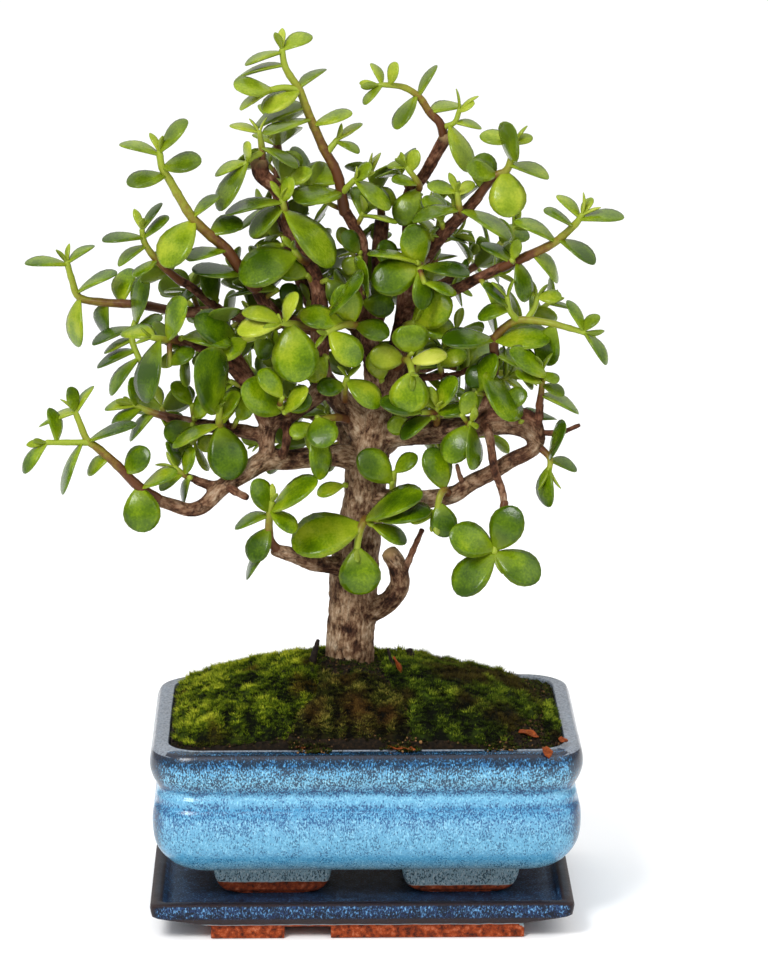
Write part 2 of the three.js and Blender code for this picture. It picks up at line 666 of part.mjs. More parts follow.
// A closed surface through rings of equally many points, closed by a fan at each end.
function loft(rings) {
  const count = rings[0].length;
  const points = rings.flat();
  const faces = [];
  for (let k = 0; k < rings.length - 1; k++)
    for (let i = 0; i < count; i++) {
      const a = k * count + i;
      const b = k * count + ((i + 1) % count);
      faces.push(a, b, b + count, a, b + count, a + count);
    }
  const last = (rings.length - 1) * count;
  for (let i = 1; i < count - 1; i++) {
    faces.push(0, i + 1, i);
    faces.push(last, last + i, last + i + 1);
  }
  const geometry = new THREE.BufferGeometry().setFromPoints(points);
  geometry.setIndex(faces);
  return geometry;
}

// A tapered tube along a smooth curve through the points, grown by the given amount.
function tube(points, radii, sides, step, grown = 0) {
  const curve = new THREE.CatmullRomCurve3(points, false, "catmullrom", 0.5);
  const spans = points.length - 1;
  const count = Math.max(spans, Math.round(curve.getLength() / step));
  const frames = curve.computeFrenetFrames(count, false);
  const rings = [];
  for (let k = 0; k <= count; k++) {
    const u = curve.getUtoTmapping(k / count);
    const middle = curve.getPoint(u);
    if (k === 0) middle.addScaledVector(frames.tangents[0], -grown);
    if (k === count) middle.addScaledVector(frames.tangents[count], grown);
    const at = Math.min(u * spans, spans - 1e-9);
    const from = Math.floor(at);
    const radius = THREE.MathUtils.lerp(radii[from], radii[from + 1], at - from) + grown;
    const ring = [];
    for (let i = 0; i < sides; i++) {
      const angle = (2 * Math.PI * i) / sides;
      ring.push(
        middle
          .clone()
          .addScaledVector(frames.normals[k], radius * Math.cos(angle))
          .addScaledVector(frames.binormals[k], radius * Math.sin(angle)),
      );
    }
    rings.push(ring);
  }
  return solidOf(loft(rings));
}

function taper([from, to], count) {
  return Array.from({ length: count }, (_, k) => from + ((to - from) * k) / (count - 1));
}

// A round bar along z.
function drum(radius, from, to, x, y, sides = 20) {
  const geometry = new THREE.CylinderGeometry(radius, radius, to - from, sides);
  geometry.rotateX(Math.PI / 2);
  geometry.translate(x, y, (from + to) / 2);
  return solidOf(geometry);
}

function block(xs, ys, zs) {
  const geometry = new THREE.BoxGeometry(xs[1] - xs[0], ys[1] - ys[0], zs[1] - zs[0]);
  geometry.translate((xs[0] + xs[1]) / 2, (ys[0] + ys[1]) / 2, (zs[0] + zs[1]) / 2);
  return solidOf(geometry);
}

// A rectangle with rounded corners at one height, seen from above anticlockwise.
function roundedRing(halfLength, halfDepth, corner, z, arc, side = 0) {
  const ring = [];
  const radius = Math.min(corner, halfDepth * 0.9);
  const centres = [[1, 1], [-1, 1], [-1, -1], [1, -1]];
  for (let c = 0; c < 4; c++) {
    const cx = centres[c][0] * (halfLength - radius);
    const cy = centres[c][1] * (halfDepth - radius);
    for (let i = 0; i <= arc; i++) {
      const angle = (Math.PI / 2) * (c + i / arc);
      ring.push(new THREE.Vector3(cx + radius * Math.cos(angle), cy + radius * Math.sin(angle), z));
    }
    const end = ring[ring.length - 1];
    const next = centres[(c + 1) % 4];
    const angle = (Math.PI / 2) * (c + 1);
    const startX = next[0] * (halfLength - radius) + radius * Math.cos(angle);
    const startY = next[1] * (halfDepth - radius) + radius * Math.sin(angle);
    for (let i = 1; i <= side; i++) {
      const t = i / (side + 1);
      ring.push(new THREE.Vector3(end.x + (startX - end.x) * t, end.y + (startY - end.y) * t, z));
    }
  }
  return ring;
}

// Pot

// Outer wall as [height, how far inside the nominal rectangle].
const POT_OUTSIDE = [
  [23, 26], [23.5, 15], [25.8, 9], [29.5, 4.8], [34, 1.8], [39, 0.4], [45, 0], [50, 0.6],
  [52.4, 1.8], [55.4, 1.8], [57.6, 2.9], [60, 1.8], [63, 0.4], [67, -0.6], [71, -0.3],
  [74, 0.9], [75, 2.6],
];
const POT_INSIDE = [[75, 6], [74, 7], [60, 7.8], [42, 8.6], [34, 12], [POT_FLOOR_Z, 19]];

function potRings(profile, grown = 0, side = 0) {
  return profile.map(([z, inset]) =>
    roundedRing(
      POT_HALF_LENGTH - inset + grown,
      POT_HALF_DEPTH - inset + grown,
      Math.max(5, POT_CORNER - inset * 0.6),
      z,
      3,
      side,
    ),
  );
}

// How a foot's end curves in to its bottom, as [from the end, above the bottom].
const FOOT_END = [[0.3, 8.5], [1.5, 4.5], [3.5, 2], [6, 0.6], [9.5, 0]];

// One foot: a block whose ends round in towards the bottom.
function potFoot(signX, signY) {
  const { inner, outer, front, thickness, bottom, top } = POT_FOOT;
  const innerEnd = FOOT_END.map(([x, z]) => new THREE.Vector2(inner + x, bottom + z));
  const outerEnd = FOOT_END.map(([x, z]) => new THREE.Vector2(outer - x, bottom + z)).reverse();
  const corners = [new THREE.Vector2(outer, top), new THREE.Vector2(inner, top)];
  const shape = new THREE.Shape([...innerEnd, ...outerEnd, ...corners]);
  const geometry = new THREE.ExtrudeGeometry(shape, { depth: thickness, bevelEnabled: false });
  geometry.rotateX(Math.PI / 2);
  geometry.translate(0, front, 0);
  const foot = solidOf(geometry);
  return foot.scale([signX, signY, 1]);
}

function buildPot() {
  const wall = solidOf(loft([...potRings(POT_OUTSIDE), ...potRings(POT_INSIDE)]));
  const signs = [[-1, -1], [-1, 1], [1, -1], [1, 1]];
  const feet = signs.map(([signX, signY]) => potFoot(signX, signY));
  let pot = wasm.Manifold.union([wall, ...feet]);
  for (const x of [-DRAIN.x, DRAIN.x]) {
    pot = pot.subtract(drum(DRAIN.hole, 20, 40, x, 0, 12));
  }
  return tidied(pot, 0.01);
}

// Plastic gauze over a drain hole, with a few of its openings.
function buildDrainMesh(x) {
  const bottom = POT_FLOOR_Z + GAP;
  let gauze = drum(DRAIN.mesh, bottom, bottom + DRAIN.meshThickness, x, 0, 12);
  for (const dx of [-3, 3])
    for (const dy of [-3, 3])
      gauze = gauze.subtract(block([x + dx - 1.8, x + dx + 1.8], [dy - 1.8, dy + 1.8], [20, 40]));
  return gauze;
}

// Saucer

// Rings of the saucer from [height, how far inside its length, how far inside its depth].
function saucerRings(profile) {
  return profile.map(([z, insetX, insetY]) =>
    roundedRing(SAUCER_HALF_LENGTH - insetX, SAUCER_HALF_DEPTH - insetY, 2.5, z, 1),
  );
}

// A dish with an upright rim, whose underside slopes in to a low foot ring with a gap in it.
function buildSaucer() {
  const { height, left, right, front, back, wall } = SAUCER_FOOT;
  const rim = SAUCER_TOP_Z;
  const dish = solidOf(
    loft(
      saucerRings([
        [height, 24, 3.6], [SAUCER_EDGE_Z, 0.6, 0.4], [rim - 0.6, 0, 0], [rim, 0.8, 0.8],
        [rim, 4.4, 4.4], [rim - 1, 5.2, 5.2], [SAUCER_WELL_Z, 7, 7],
      ]),
    ),
  ).translate([SAUCER_CENTRE[0], SAUCER_CENTRE[1], 0]);
  const top = height + 2;
  const inside = block([left + wall, right - wall], [front + wall, back - wall], [-1, top + 1]);
  const ring = block([left, right], [front, back], [0, top]).subtract(inside);
  const notch = block(SAUCER_NOTCH, [-70, 70], [-1, height]);
  const pad = block([-22, 18], [-16, 12], [0, top]);
  return tidied(wasm.Manifold.union([dish, ring.subtract(notch), pad]), 0.01);
}

// Soil and moss

// Height of the soil: a mound that is highest at the trunk and lower to the right, with small
// unevenness.
function soilHeight(x, y) {
  const dx = x - MOUND_TOP[0];
  const dy = y - MOUND_TOP[1];
  const alongX = Math.max(0, 1 - (dx / (dx < 0 ? 75 : 89)) ** 2);
  const alongY = Math.max(0, 1 - (dy / (dy < 0 ? 47 : 67)) ** 2);
  const mound = Math.pow(alongX * alongY, 0.75) * (1 - 0.0025 * Math.max(0, dx));
  const collar = 2.5 * Math.exp(-(dx * dx + dy * dy) / 180);
  const uneven = Math.sin(x * 0.19 + 1.3) * Math.sin(y * 0.23 + 0.4);
  return SOIL_EDGE_Z + MOUND_HEIGHT * mound + collar + uneven * mound;
}

function trunkPlug(grown) {
  const limb = LIMBS[0];
  return tube(limb.points.slice(0, 5).map(place), limb.radii.slice(0, 5), limb.sides, 12, grown);
}

function buildSoil() {
  const inside = [...POT_INSIDE].reverse().filter(([z]) => z < SOIL_EDGE_Z);
  const rings = potRings(inside, -GAP, 1);
  rings[0].forEach((p) => p.setZ(POT_FLOOR_Z + GAP));
  const edge = 7.2;
  for (const part of [1, 0.95, 0.85, 0.68, 0.46, 0.2]) {
    const ring = roundedRing(
      (POT_HALF_LENGTH - edge) * part - GAP,
      (POT_HALF_DEPTH - edge) * part - GAP,
      POT_CORNER * part * 0.8,
      0,
      3,
      1,
    );
    ring.forEach((p) => p.setZ(soilHeight(p.x, p.y)));
    rings.push(ring);
  }
  let soil = solidOf(loft(rings));
  const gauzeTop = POT_FLOOR_Z + DRAIN.meshThickness + 2 * GAP;
  for (const x of [-DRAIN.x, DRAIN.x]) {
    soil = soil.subtract(drum(DRAIN.mesh + GAP, 20, gauzeTop, x, 0, 12));
  }
  return tidied(soil.subtract(trunkPlug(GAP)).subtract(deadTwig(GAP)), 0.01);
}

// A cushion of moss over the soil inside an outline of [x, y] points, thin at its edge.
function buildMoss(outline, soil, lift) {
  const share = 1 / outline.length;
  const middle = outline.reduce(([x, y], p) => [x + p[0] * share, y + p[1] * share], [0, 0]);
  const ringAt = (part, rise) =>
    outline.map(([x, y]) => {
      const px = middle[0] + (x - middle[0]) * part;
      const py = middle[1] + (y - middle[1]) * part;
      const bump = 0.5 * Math.sin(px * 0.37) * Math.sin(py * 0.41 + 1);
      return new THREE.Vector3(px, py, soilHeight(px, py) + rise + (rise > 0 ? bump : 0));
    });
  const cushion = solidOf(
    loft([
      ringAt(0.05, -4), ringAt(1, -4), ringAt(1, 0.9), ringAt(0.86, MOSS_THICKNESS * 0.8),
      ringAt(0.6, MOSS_THICKNESS + lift * 0.4), ringAt(0.32, MOSS_THICKNESS + lift),
      ringAt(0.05, MOSS_THICKNESS + lift),
    ]),
  );
  const clear = wasm.Manifold.union([soil.translate([0, 0, GAP]), trunkPlug(1), deadTwig(GAP)]);
  return tidied(largestOf(cushion.subtract(clear)), 0.01);
}

const MOSS_LEFT = [
  [-21, 0], [-16, 17], [-6, 25], [-4, 38], [-5, 50], [-25, 51], [-47, 51], [-63, 50], [-72, 44],
  [-76, 33], [-76, 12], [-76, -10], [-76, -32], [-73, -44], [-66, -50], [-56, -52], [-42, -52],
  [-32, -51], [-27, -42], [-21, -35], [-20, -16],
];
const MOSS_RIGHT = [
  [8, -14], [11, -26], [17, -38], [18, -51], [32, -52], [46, -52], [54, -48], [58, -39],
  [65, -30], [69, -18], [70, -4], [67, 12], [64, 26], [60, 40], [54, 49], [33, 51], [1, 50],
  [0, 38], [0, 25], [5, 14], [7, 0],
];
const MOSS_DRY = [
  [-18, -22], [-18, -34], [-22, -38], [-26, -44], [-28, -51], [-14, -52], [2, -52], [15, -52],
  [14, -40], [8, -28], [3, -23], [-8, -24],
];

// What lies on the soil and sticks out of it

const DEAD_TWIG = {
  points: [[-21, -9, 84], [-21, -9, 99], [-20, -9, 104], [-19, -9, 108]],
  radii: [1.3, 1.6, 1.3, 0.9],
};
const DRY_LEAF = { base: [60, -43], tip: [68, -45], width: 5.5 };

function deadTwig(grown) {
  const points = DEAD_TWIG.points.map((p) => new THREE.Vector3(...p));
  return tube(points, DEAD_TWIG.radii, 5, 30, grown);
}

// A fallen leaf lying on the bare soil near the front right corner.
function buildDryLeaf(soil) {
  const { base, tip, width } = DRY_LEAF;
  const from = new THREE.Vector3(...base, soilHeight(...base) + 0.9);
  const along = new THREE.Vector3(...tip, soilHeight(...tip) + 0.9).sub(from);
  const length = along.length();
  along.normalize();
  const across = new THREE.Vector3(0, 0, 1).cross(along).normalize();
  const normal = new THREE.Vector3().crossVectors(along, across);
  const blade = leafSolid({ base: from, along, across, normal, length, width });
  return largestOf(blade.subtract(soil.translate([0, 0, GAP])));
}

// Wood

function buildWood(grown) {
  const parts = LIMBS.map((limb) =>
    tube(limb.points.map(place), limb.radii, limb.sides, 20, grown),
  );
  return tidied(wasm.Manifold.union(parts), 0.1);
}

// Leaves

// A repeatable stream of numbers from 0 to 1.
function randomStream(seed) {
  let state = seed;
  return () => {
    state = (state + 0x6d2b79f5) | 0;
    let t = Math.imul(state ^ (state >>> 15), 1 | state);
    t = (t + Math.imul(t ^ (t >>> 7), 61 | t)) ^ t;
    return ((t ^ (t >>> 14)) >>> 0) / 4294967296;
  };
}

// Half the width of a leaf at a part of its length, as a part of its full width.
const OUTLINE = [[0, 0.07], [0.36, 0.37], [0.7, 0.5], [0.91, 0.31]];

// A leaf is a frame (base, along, across, normal) with its length and width.
function leafPoint(leaf, t, side, lift) {
  const arch = LEAF_ARCH * leaf.length * 4 * t * (1 - t);
  return leaf.base
    .clone()
    .addScaledVector(leaf.along, t * leaf.length)
    .addScaledVector(leaf.across, side * leaf.width)
    .addScaledVector(leaf.normal, arch + lift);
}

// The blade: flat above and keeled below, a triangle in section that widens and ends in a tip.
function leafSolid(leaf) {
  const outline = leaf.length > 17 ? OUTLINE : [OUTLINE[0], [0.42, 0.42], [0.8, 0.45]];
  const thickness = Math.min(LEAF_THICKNESS, 0.7 + leaf.length * 0.09);
  const points = [];
  outline.forEach(([t, half], k) => {
    const keel = k === 0 ? -0.8 : -thickness * 0.62;
    const edge = k === 0 ? 0.6 : thickness * 0.38;
    const wide = k === 0 ? Math.max(half, 0.9 / leaf.width) : half;
    points.push(leafPoint(leaf, t, -wide, edge));
    points.push(leafPoint(leaf, t, wide, edge));
    points.push(leafPoint(leaf, t, 0, keel));
  });
  points.push(leafPoint(leaf, 1, 0, 0));
  const tip = points.length - 1;
  const faces = [0, 1, 2];
  for (let k = 0; k < outline.length - 1; k++)
    for (let i = 0; i < 3; i++) {
      const a = k * 3 + i;
      const b = k * 3 + ((i + 1) % 3);
      faces.push(a, b + 3, b, a, a + 3, b + 3);
    }
  const last = tip - 3;
  for (let i = 0; i < 3; i++) faces.push(last + ((i + 1) % 3), last + i, tip);
  const geometry = new THREE.BufferGeometry().setFromPoints(points);
  geometry.setIndex(faces);
  return solidOf(geometry);
}

// Points spread over a blade that its clearance is measured at, each with its part of the length.
const SAMPLES = [
  [0.22, 0], [0.42, -0.36], [0.42, 0], [0.42, 0.36], [0.62, -0.46], [0.62, -0.22], [0.62, 0],
  [0.62, 0.22], [0.62, 0.46], [0.82, -0.4], [0.82, -0.13], [0.82, 0.13], [0.82, 0.4],
  [0.98, -0.1], [0.98, 0.1],
];

function leafSamples(leaf) {
  return SAMPLES.map(([t, side]) => leafPoint(leaf, t, side, 0));
}

function distanceToSpan(point, span) {
  const along = span.to.clone().sub(span.from);
  const t = THREE.MathUtils.clamp(point.clone().sub(span.from).dot(along) / along.lengthSq(), 0, 1);
  const radius = span.radii[0] + (span.radii[1] - span.radii[0]) * t;
  return point.distanceTo(span.from.clone().addScaledVector(along, t)) - radius;
}

// A blade from its base to its tip, turned about its length so that it looks as wide as given.
function seenLeaf(base, tip, seenWidth) {
  const along = tip.clone().sub(base);
  const length = along.length();
  along.normalize();
  const width = Math.max(seenWidth, LEAF_WIDTH * length);
  const facing = toEye.clone().addScaledVector(along, -toEye.dot(along)).normalize();
  const side = new THREE.Vector3().crossVectors(along, facing);
  const turn = Math.acos(Math.min(1, seenWidth / width));
  const up = side.z >= 0 ? 1 : -1;
  const normal = facing.multiplyScalar(Math.cos(turn)).addScaledVector(side, up * Math.sin(turn));
  const across = new THREE.Vector3().crossVectors(normal, along).normalize();
  return { base, along, across, normal, length, width };
}

// A blade on a stem: it leans from the stem's direction by an angle, on the side given by round.
function ruleLeaf(base, direction, round, lean, length) {
  const level = new THREE.Vector3(0, 0, 1).cross(direction);
  if (level.length() < 0.2) level.set(1, 0, 0);
  level.normalize();
  const other = new THREE.Vector3().crossVectors(direction, level).normalize();
  const outward = level.multiplyScalar(Math.cos(round)).addScaledVector(other, Math.sin(round));
  const along = direction.clone().multiplyScalar(Math.cos(lean));
  along.addScaledVector(outward, Math.sin(lean)).normalize();
  const normal = direction.clone().addScaledVector(along, -direction.dot(along)).normalize();
  const across = new THREE.Vector3().crossVectors(normal, along).normalize();
  return { base, along, across, normal, length, width: length * LEAF_WIDTH };
}

// The nearest point of a shoot's stems to a point seen from the front, as [across, up, depth].
function nearestOnStems(lines, across, up) {
  let best = null;
  for (const line of lines)
    for (let k = 0; k < line.length - 1; k++) {
      const [a, b] = [line[k], line[k + 1]];
      const [dx, dy] = [b[0] - a[0], b[1] - a[1]];
      const size = dx * dx + dy * dy;
      const onLine = (across - a[0]) * dx + (up - a[1]) * dy;
      const t = size ? THREE.MathUtils.clamp(onLine / size, 0, 1) : 1;
      const point = a.map((value, i) => value + (b[i] - value) * t);
      const distance = Math.hypot(point[0] - across, point[1] - up);
      if (!best || distance < best.distance) best = { distance, point };
    }
  return best.point;
}

function spansOf(points, radii) {
  return points.slice(1).map((to, k) => ({ from: points[k], to, radii: [radii[k], radii[k + 1]] }));
}

const woodSpans = LIMBS.flatMap(({ points, radii }) => spansOf(points.map(place), radii));
const shoots = SHOOTS.map((shoot) => {
  const lines = [shoot.stem, ...(shoot.twigs ?? [])];
  const ends = shoot.radii ?? BACK_RADII;
  const stems = lines.map((line, k) => {
    const radii = k === 0 ? taper(ends, line.length) : taper([ends[1] + 0.2, ends[1]], line.length);
    return { points: line.map(place), radii };
  });
  const spans = stems.flatMap(({ points, radii }) => spansOf(points, radii));
  return { ...shoot, lines, stems, spans, blades: [] };
});

// How far a blade is from everything that it may not touch, less what it has to keep.
function clearance(leaf, owner) {
  const samples = leafSamples(leaf);
  let least = Infinity;
  samples.forEach((point, i) => {
    const t = SAMPLES[i][0];
    for (const span of t > 0.3 ? woodSpans : []) {
      least = Math.min(least, distanceToSpan(point, span) - 1.7);
    }
    for (const shoot of shoots) {
      const own = shoot === owner;
      const kept = own ? 0.9 : 1.6;
      for (const span of !own || t > 0.5 ? shoot.spans : []) {
        least = Math.min(least, distanceToSpan(point, span) - kept);
      }
      for (const blade of shoot.blades) {
        if (blade.leaf.base.distanceTo(leaf.base) > blade.leaf.length + leaf.length + 6) continue;
        blade.samples.forEach((other, j) => {
          if (own && (t < 0.4 || SAMPLES[j][0] < 0.4)) return;
          least = Math.min(least, point.distanceTo(other) - (own ? 2.3 : LEAF_CLEARANCE));
        });
      }
    }
  });
  return least;
}

// Keeps the first clear candidate.
function settle(candidates, shoot) {
  for (const leaf of candidates)
    if (clearance(leaf, shoot) > 0) {
      shoot.blades.push({ leaf, samples: leafSamples(leaf) });
      return true;
    }
  return false;
}

// A blade that isn't clear is bent forward or back, which keeps its look from the front.
const BENDS = [0, -3, 3, -6, 6, -9, 9, -12, 12, -15, 15, -18, 18, -22, 22];

for (const shoot of shoots)
  for (const [baseAcross, baseUp, tipAcross, tipUp, width, behind] of shoot.leaves ?? []) {
    const base = nearestOnStems(shoot.lines, baseAcross, baseUp);
    settle(
      BENDS.map((bend) =>
        seenLeaf(place(base), place([tipAcross, tipUp, base[2] + behind + bend]), width),
      ),
      shoot,
    );
  }

// Pairs by the rule: opposite blades, each pair a quarter turn from the one below it, leaning
// out less and getting shorter towards the tip.
const TURNS = [[0, 0], [0.35, 0], [-0.35, 0], [0, -0.3], [0.6, -0.2], [-0.6, -0.2]];
const random = randomStream(SEED);
for (const shoot of shoots) {
  const count = shoot.pairs ?? 0;
  const curve = new THREE.CatmullRomCurve3(shoot.stems[0].points, false, "catmullrom", 0.5);
  const twist = random() * Math.PI;
  for (let k = 0; k < count; k++) {
    const part = count > 1 ? k / (count - 1) : 1;
    const t = 0.3 + 0.68 * part;
    const base = curve.getPoint(t);
    const direction = curve.getTangent(t);
    for (const half of [0, 1]) {
      const round = twist + (Math.PI / 2) * k + Math.PI * half + (random() - 0.5) * 0.4;
      const lean = 1.25 - 0.45 * part + (random() - 0.5) * 0.3;
      const length = BACK_SIZES[0] + (BACK_SIZES[1] - BACK_SIZES[0]) * part + (random() - 0.5) * 3;
      const candidates = [];
      for (const scale of [1, 0.8, 0.62])
        for (const [turned, leaned] of TURNS)
          candidates.push(ruleLeaf(base, direction, round + turned, lean + leaned, length * scale));
      settle(candidates, shoot);
    }
  }
}

// Assembly

const root = new THREE.Group();
root.name = "dwarf_jade_bonsai";

const COLOURS = {
  glaze: ["#4f93b8", 0.25],
  soil: ["#3a2a20", 0.95],
  moss: ["#6f9a34", 0.95],
  dryMoss: ["#4a3d22", 0.95],
  bark: ["#8a7563", 0.85],
  leaf: ["#5f9430", 0.35],
  plastic: ["#2d2d2b", 0.6],
  dry: ["#b8763c", 0.8],
};

function addPiece(name, solid, look) {
  const [color, roughness] = COLOURS[look];
  const material = new THREE.MeshStandardMaterial({ color, roughness, metalness: 0 });
  const mesh = new THREE.Mesh(geometryOf(solid), material);
  mesh.name = name;
  root.add(mesh);
}

const soil = buildSoil();
const wood = buildWood(0);
const grownWood = buildWood(GAP + 0.05);

addPiece("saucer", buildSaucer(), "glaze");
addPiece("pot", buildPot(), "glaze");
addPiece("drain_mesh_left", buildDrainMesh(-DRAIN.x), "plastic");
addPiece("drain_mesh_right", buildDrainMesh(DRAIN.x), "plastic");
addPiece("soil", soil, "soil");
addPiece("moss_left", buildMoss(MOSS_LEFT, soil, 0), "moss");
addPiece("moss_right", buildMoss(MOSS_RIGHT, soil, 0.4), "moss");
addPiece("moss_dry", buildMoss(MOSS_DRY, soil, 0.6), "dryMoss");
addPiece("dead_twig", deadTwig(0), "dry");
addPiece("dry_leaf", buildDryLeaf(soil), "dry");
addPiece("trunk_and_branches", wood, "bark");

for (const shoot of shoots) {
  const stems = shoot.stems.map(({ points, radii }) => tube(points, radii, 4, 30));
  const blades = shoot.blades.map(({ leaf }) => leafSolid(leaf));
  const whole = wasm.Manifold.union([...stems, ...blades]).subtract(grownWood);
  addPiece(shoot.name, tidied(whole, 0.1), "leaf");
}

export default root;
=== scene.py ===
# Dwarf jade bonsai in a blue glazed pot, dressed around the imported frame.
# The tables are in millimetres, and millimetre turns them into metres when a mesh is made.
import math
from functools import partial

import bpy
import numpy as np
from mathutils import Matrix


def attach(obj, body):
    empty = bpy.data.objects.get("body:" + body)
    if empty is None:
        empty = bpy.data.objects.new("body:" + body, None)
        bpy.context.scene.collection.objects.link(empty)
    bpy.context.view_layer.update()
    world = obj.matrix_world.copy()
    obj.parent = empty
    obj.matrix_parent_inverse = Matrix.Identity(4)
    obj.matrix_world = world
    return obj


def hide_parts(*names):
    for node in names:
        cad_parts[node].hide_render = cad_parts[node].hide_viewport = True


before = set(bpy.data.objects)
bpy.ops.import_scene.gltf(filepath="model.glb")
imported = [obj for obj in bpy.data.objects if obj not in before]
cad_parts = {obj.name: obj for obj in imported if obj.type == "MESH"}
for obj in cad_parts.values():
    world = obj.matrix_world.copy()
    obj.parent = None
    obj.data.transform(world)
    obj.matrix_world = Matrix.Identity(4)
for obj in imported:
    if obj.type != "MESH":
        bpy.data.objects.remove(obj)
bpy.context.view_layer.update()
scene = bpy.context.scene
millimetre = 0.001
print("frame loaded:", len(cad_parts), "nodes")

# The camera looks at the bonsai from the front, a little from above, as in the photograph.
# The plant's points are (across, up, depth): across and up as this camera sees them in the
# plane of the trunk, and depth behind that plane (less than 0 is nearer).
view = {
    "yaw": -1,  # degrees
    "pitch": 13,  # degrees above the horizon
    "distance": 1750,
    "aim": (7.6, 0, 168),
    "aimAcross": 6.8,
    "aimUp": 180.4,
    "lens": 161.04,
    "sensor": 36,
    "farthest": 50,  # metres
}


# The direction of a vector, with a length of 1.
def unit(v):
    return v / np.linalg.norm(v)


# The axes of something that faces along backward, level from side to side, with its place.
def lookingAxes(backward, spot):
    right = unit(np.cross([0, 0, 1], backward))
    axes = np.eye(4)
    axes[:3] = np.stack([right, np.cross(backward, right), backward, spot * millimetre], axis=1)
    return Matrix(axes.tolist())


yaw, pitch = math.radians(view["yaw"]), math.radians(view["pitch"])
toEye = np.array([math.sin(yaw) * math.cos(pitch), -math.cos(yaw) * math.cos(pitch), math.sin(pitch)])
eye = np.array(view["aim"], float) + view["distance"] * toEye
viewRight = unit(np.cross([0, 0, 1], toEye))
viewUp = np.cross(toEye, viewRight)


# Across, up and depth to x, y, z: the ray from the eye through that spot of the trunk's plane
# meets the upright plane that stands the given depth behind it.
def place(points):
    points = np.asarray(points, float)
    ray = -view["distance"] * toEye + (points[..., 0:1] - view["aimAcross"]) * viewRight
    ray = ray + (points[..., 1:2] - view["aimUp"]) * viewUp
    return eye + ray * ((points[..., 2:3] - eye[1]) / ray[..., 1:2])


camera = bpy.data.objects.new("camera", bpy.data.cameras.new("camera"))
scene.collection.objects.link(camera)
camera.data.lens = view["lens"]
camera.data.sensor_width = view["sensor"]
camera.data.clip_end = view["farthest"]
camera.matrix_world = lookingAxes(toEye, eye)
scene.camera = camera
scene.view_settings.view_transform = "Standard"


# Meshes and surfaces


# One mesh object from points in millimetres, face index rows of three or four, and values per point.
def makePiece(name, points, faceSets, values=None, slots=None):
    mesh = bpy.data.meshes.new(name)
    sizes = np.concatenate([np.full(len(faces), faces.shape[1]) for faces in faceSets])
    mesh.vertices.add(len(points))
    mesh.vertices.foreach_set("co", (points * millimetre).astype(np.float32).ravel())
    mesh.loops.add(int(sizes.sum()))
    corners = np.concatenate([faces.ravel() for faces in faceSets])
    mesh.loops.foreach_set("vertex_index", corners.astype(np.int32))
    mesh.polygons.add(len(sizes))
    mesh.polygons.foreach_set("loop_start", (np.cumsum(sizes) - sizes).astype(np.int32))
    mesh.polygons.foreach_set("use_smooth", np.ones(len(sizes), bool))
    if slots is not None:
        mesh.polygons.foreach_set("material_index", slots.astype(np.int32))
    for key, value in (values or {}).items():
        kind, field = ("FLOAT_VECTOR", "vector") if value.ndim == 2 else ("FLOAT", "value")
        mesh.attributes.new(key, kind, "POINT").data.foreach_set(field, value.astype(np.float32).ravel())
    mesh.update(calc_edges=True)
    mesh.validate()
    piece = bpy.data.objects.new(name, mesh)
    scene.collection.objects.link(piece)
    return piece


# Faces of a closed surface through rings of points, numbered ring by ring: four-sided between the
# rings, and a fan of triangles at each end round the two points that follow the rings.
def loftFaces(count, around):
    index = np.arange(count * around).reshape(count, around)
    onward = np.roll(index, -1, axis=1)
    quads = np.stack([index[:-1], onward[:-1], onward[1:], index[1:]], axis=-1).reshape(-1, 4)
    first = np.full(around, count * around)
    start = np.stack([first, onward[0], index[0]], axis=1)
    return [quads, np.vstack([start, np.stack([first + 1, index[-1], onward[-1]], axis=1)])]


# A closed surface through rings of points, with the middle of its first and last ring as ends.
def loft(rings):
    points = np.vstack([rings.reshape(-1, 3), rings[0].mean(axis=0), rings[-1].mean(axis=0)])
    return points, loftFaces(*rings.shape[:2])


# Several surfaces as one: the points follow each other and each face index moves up by the
# number of points before it.
def together(parts):
    offset = 0
    points, quads, triangles = [], [np.zeros((0, 4), int)], [np.zeros((0, 3), int)]
    for partPoints, faceSets in parts:
        points.append(partPoints)
        for faces in faceSets:
            (quads if faces.shape[1] == 4 else triangles).append(faces + offset)
        offset += len(partPoints)
    return np.vstack(points), [np.vstack(quads), np.vstack(triangles)]


# A smooth path through the points: between two of them a cubic whose slope at each is half the
# step between its neighbours. part runs from 0 to 1, evenly by points.
def curveAt(points, part):
    points = np.asarray(points, float)
    ends = np.vstack([2 * points[0] - points[1], points, 2 * points[-1] - points[-2]])
    at = np.clip(np.asarray(part, float) * (len(points) - 1), 0, len(points) - 1)
    first = np.minimum(at.astype(int), len(points) - 2)
    w = (at - first)[..., None]
    a, b, c, d = (ends[first + k] for k in range(4))
    return b + w * (c - a) / 2 + w**2 * (2 * a - 5 * b + 4 * c - d) / 2 + w**3 * (3 * b - 3 * c + d - a) / 2


# The same path closed on itself, at evenly spaced parts of its points.
def closedCurve(points, count):
    points = np.asarray(points, float)
    lap = np.vstack([points[-2:], points, points[:3]])
    return curveAt(lap, (2 + np.arange(count) / count * len(points)) / (len(lap) - 1))


# Parts of a path that lie evenly along its length, about one step apart, and the whole length.
def evenParts(points, step):
    fine = np.linspace(0, 1, 40 * (len(points) - 1) + 1)
    steps = np.linalg.norm(np.diff(curveAt(points, fine), axis=0), axis=1)
    length = np.concatenate([[0], np.cumsum(steps)])
    count = max(len(points), int(round(length[-1] / step)) + 1)
    return np.interp(np.linspace(0, length[-1], count), length, fine), length[-1]


# A path through the points at even steps: its spots and radii, their parts and the whole length.
def evenPath(points, radii, step):
    part, length = evenParts(points, step)
    sizes = np.interp(part * (len(points) - 1), np.arange(len(points)), radii)
    return curveAt(points, part), sizes, part, length


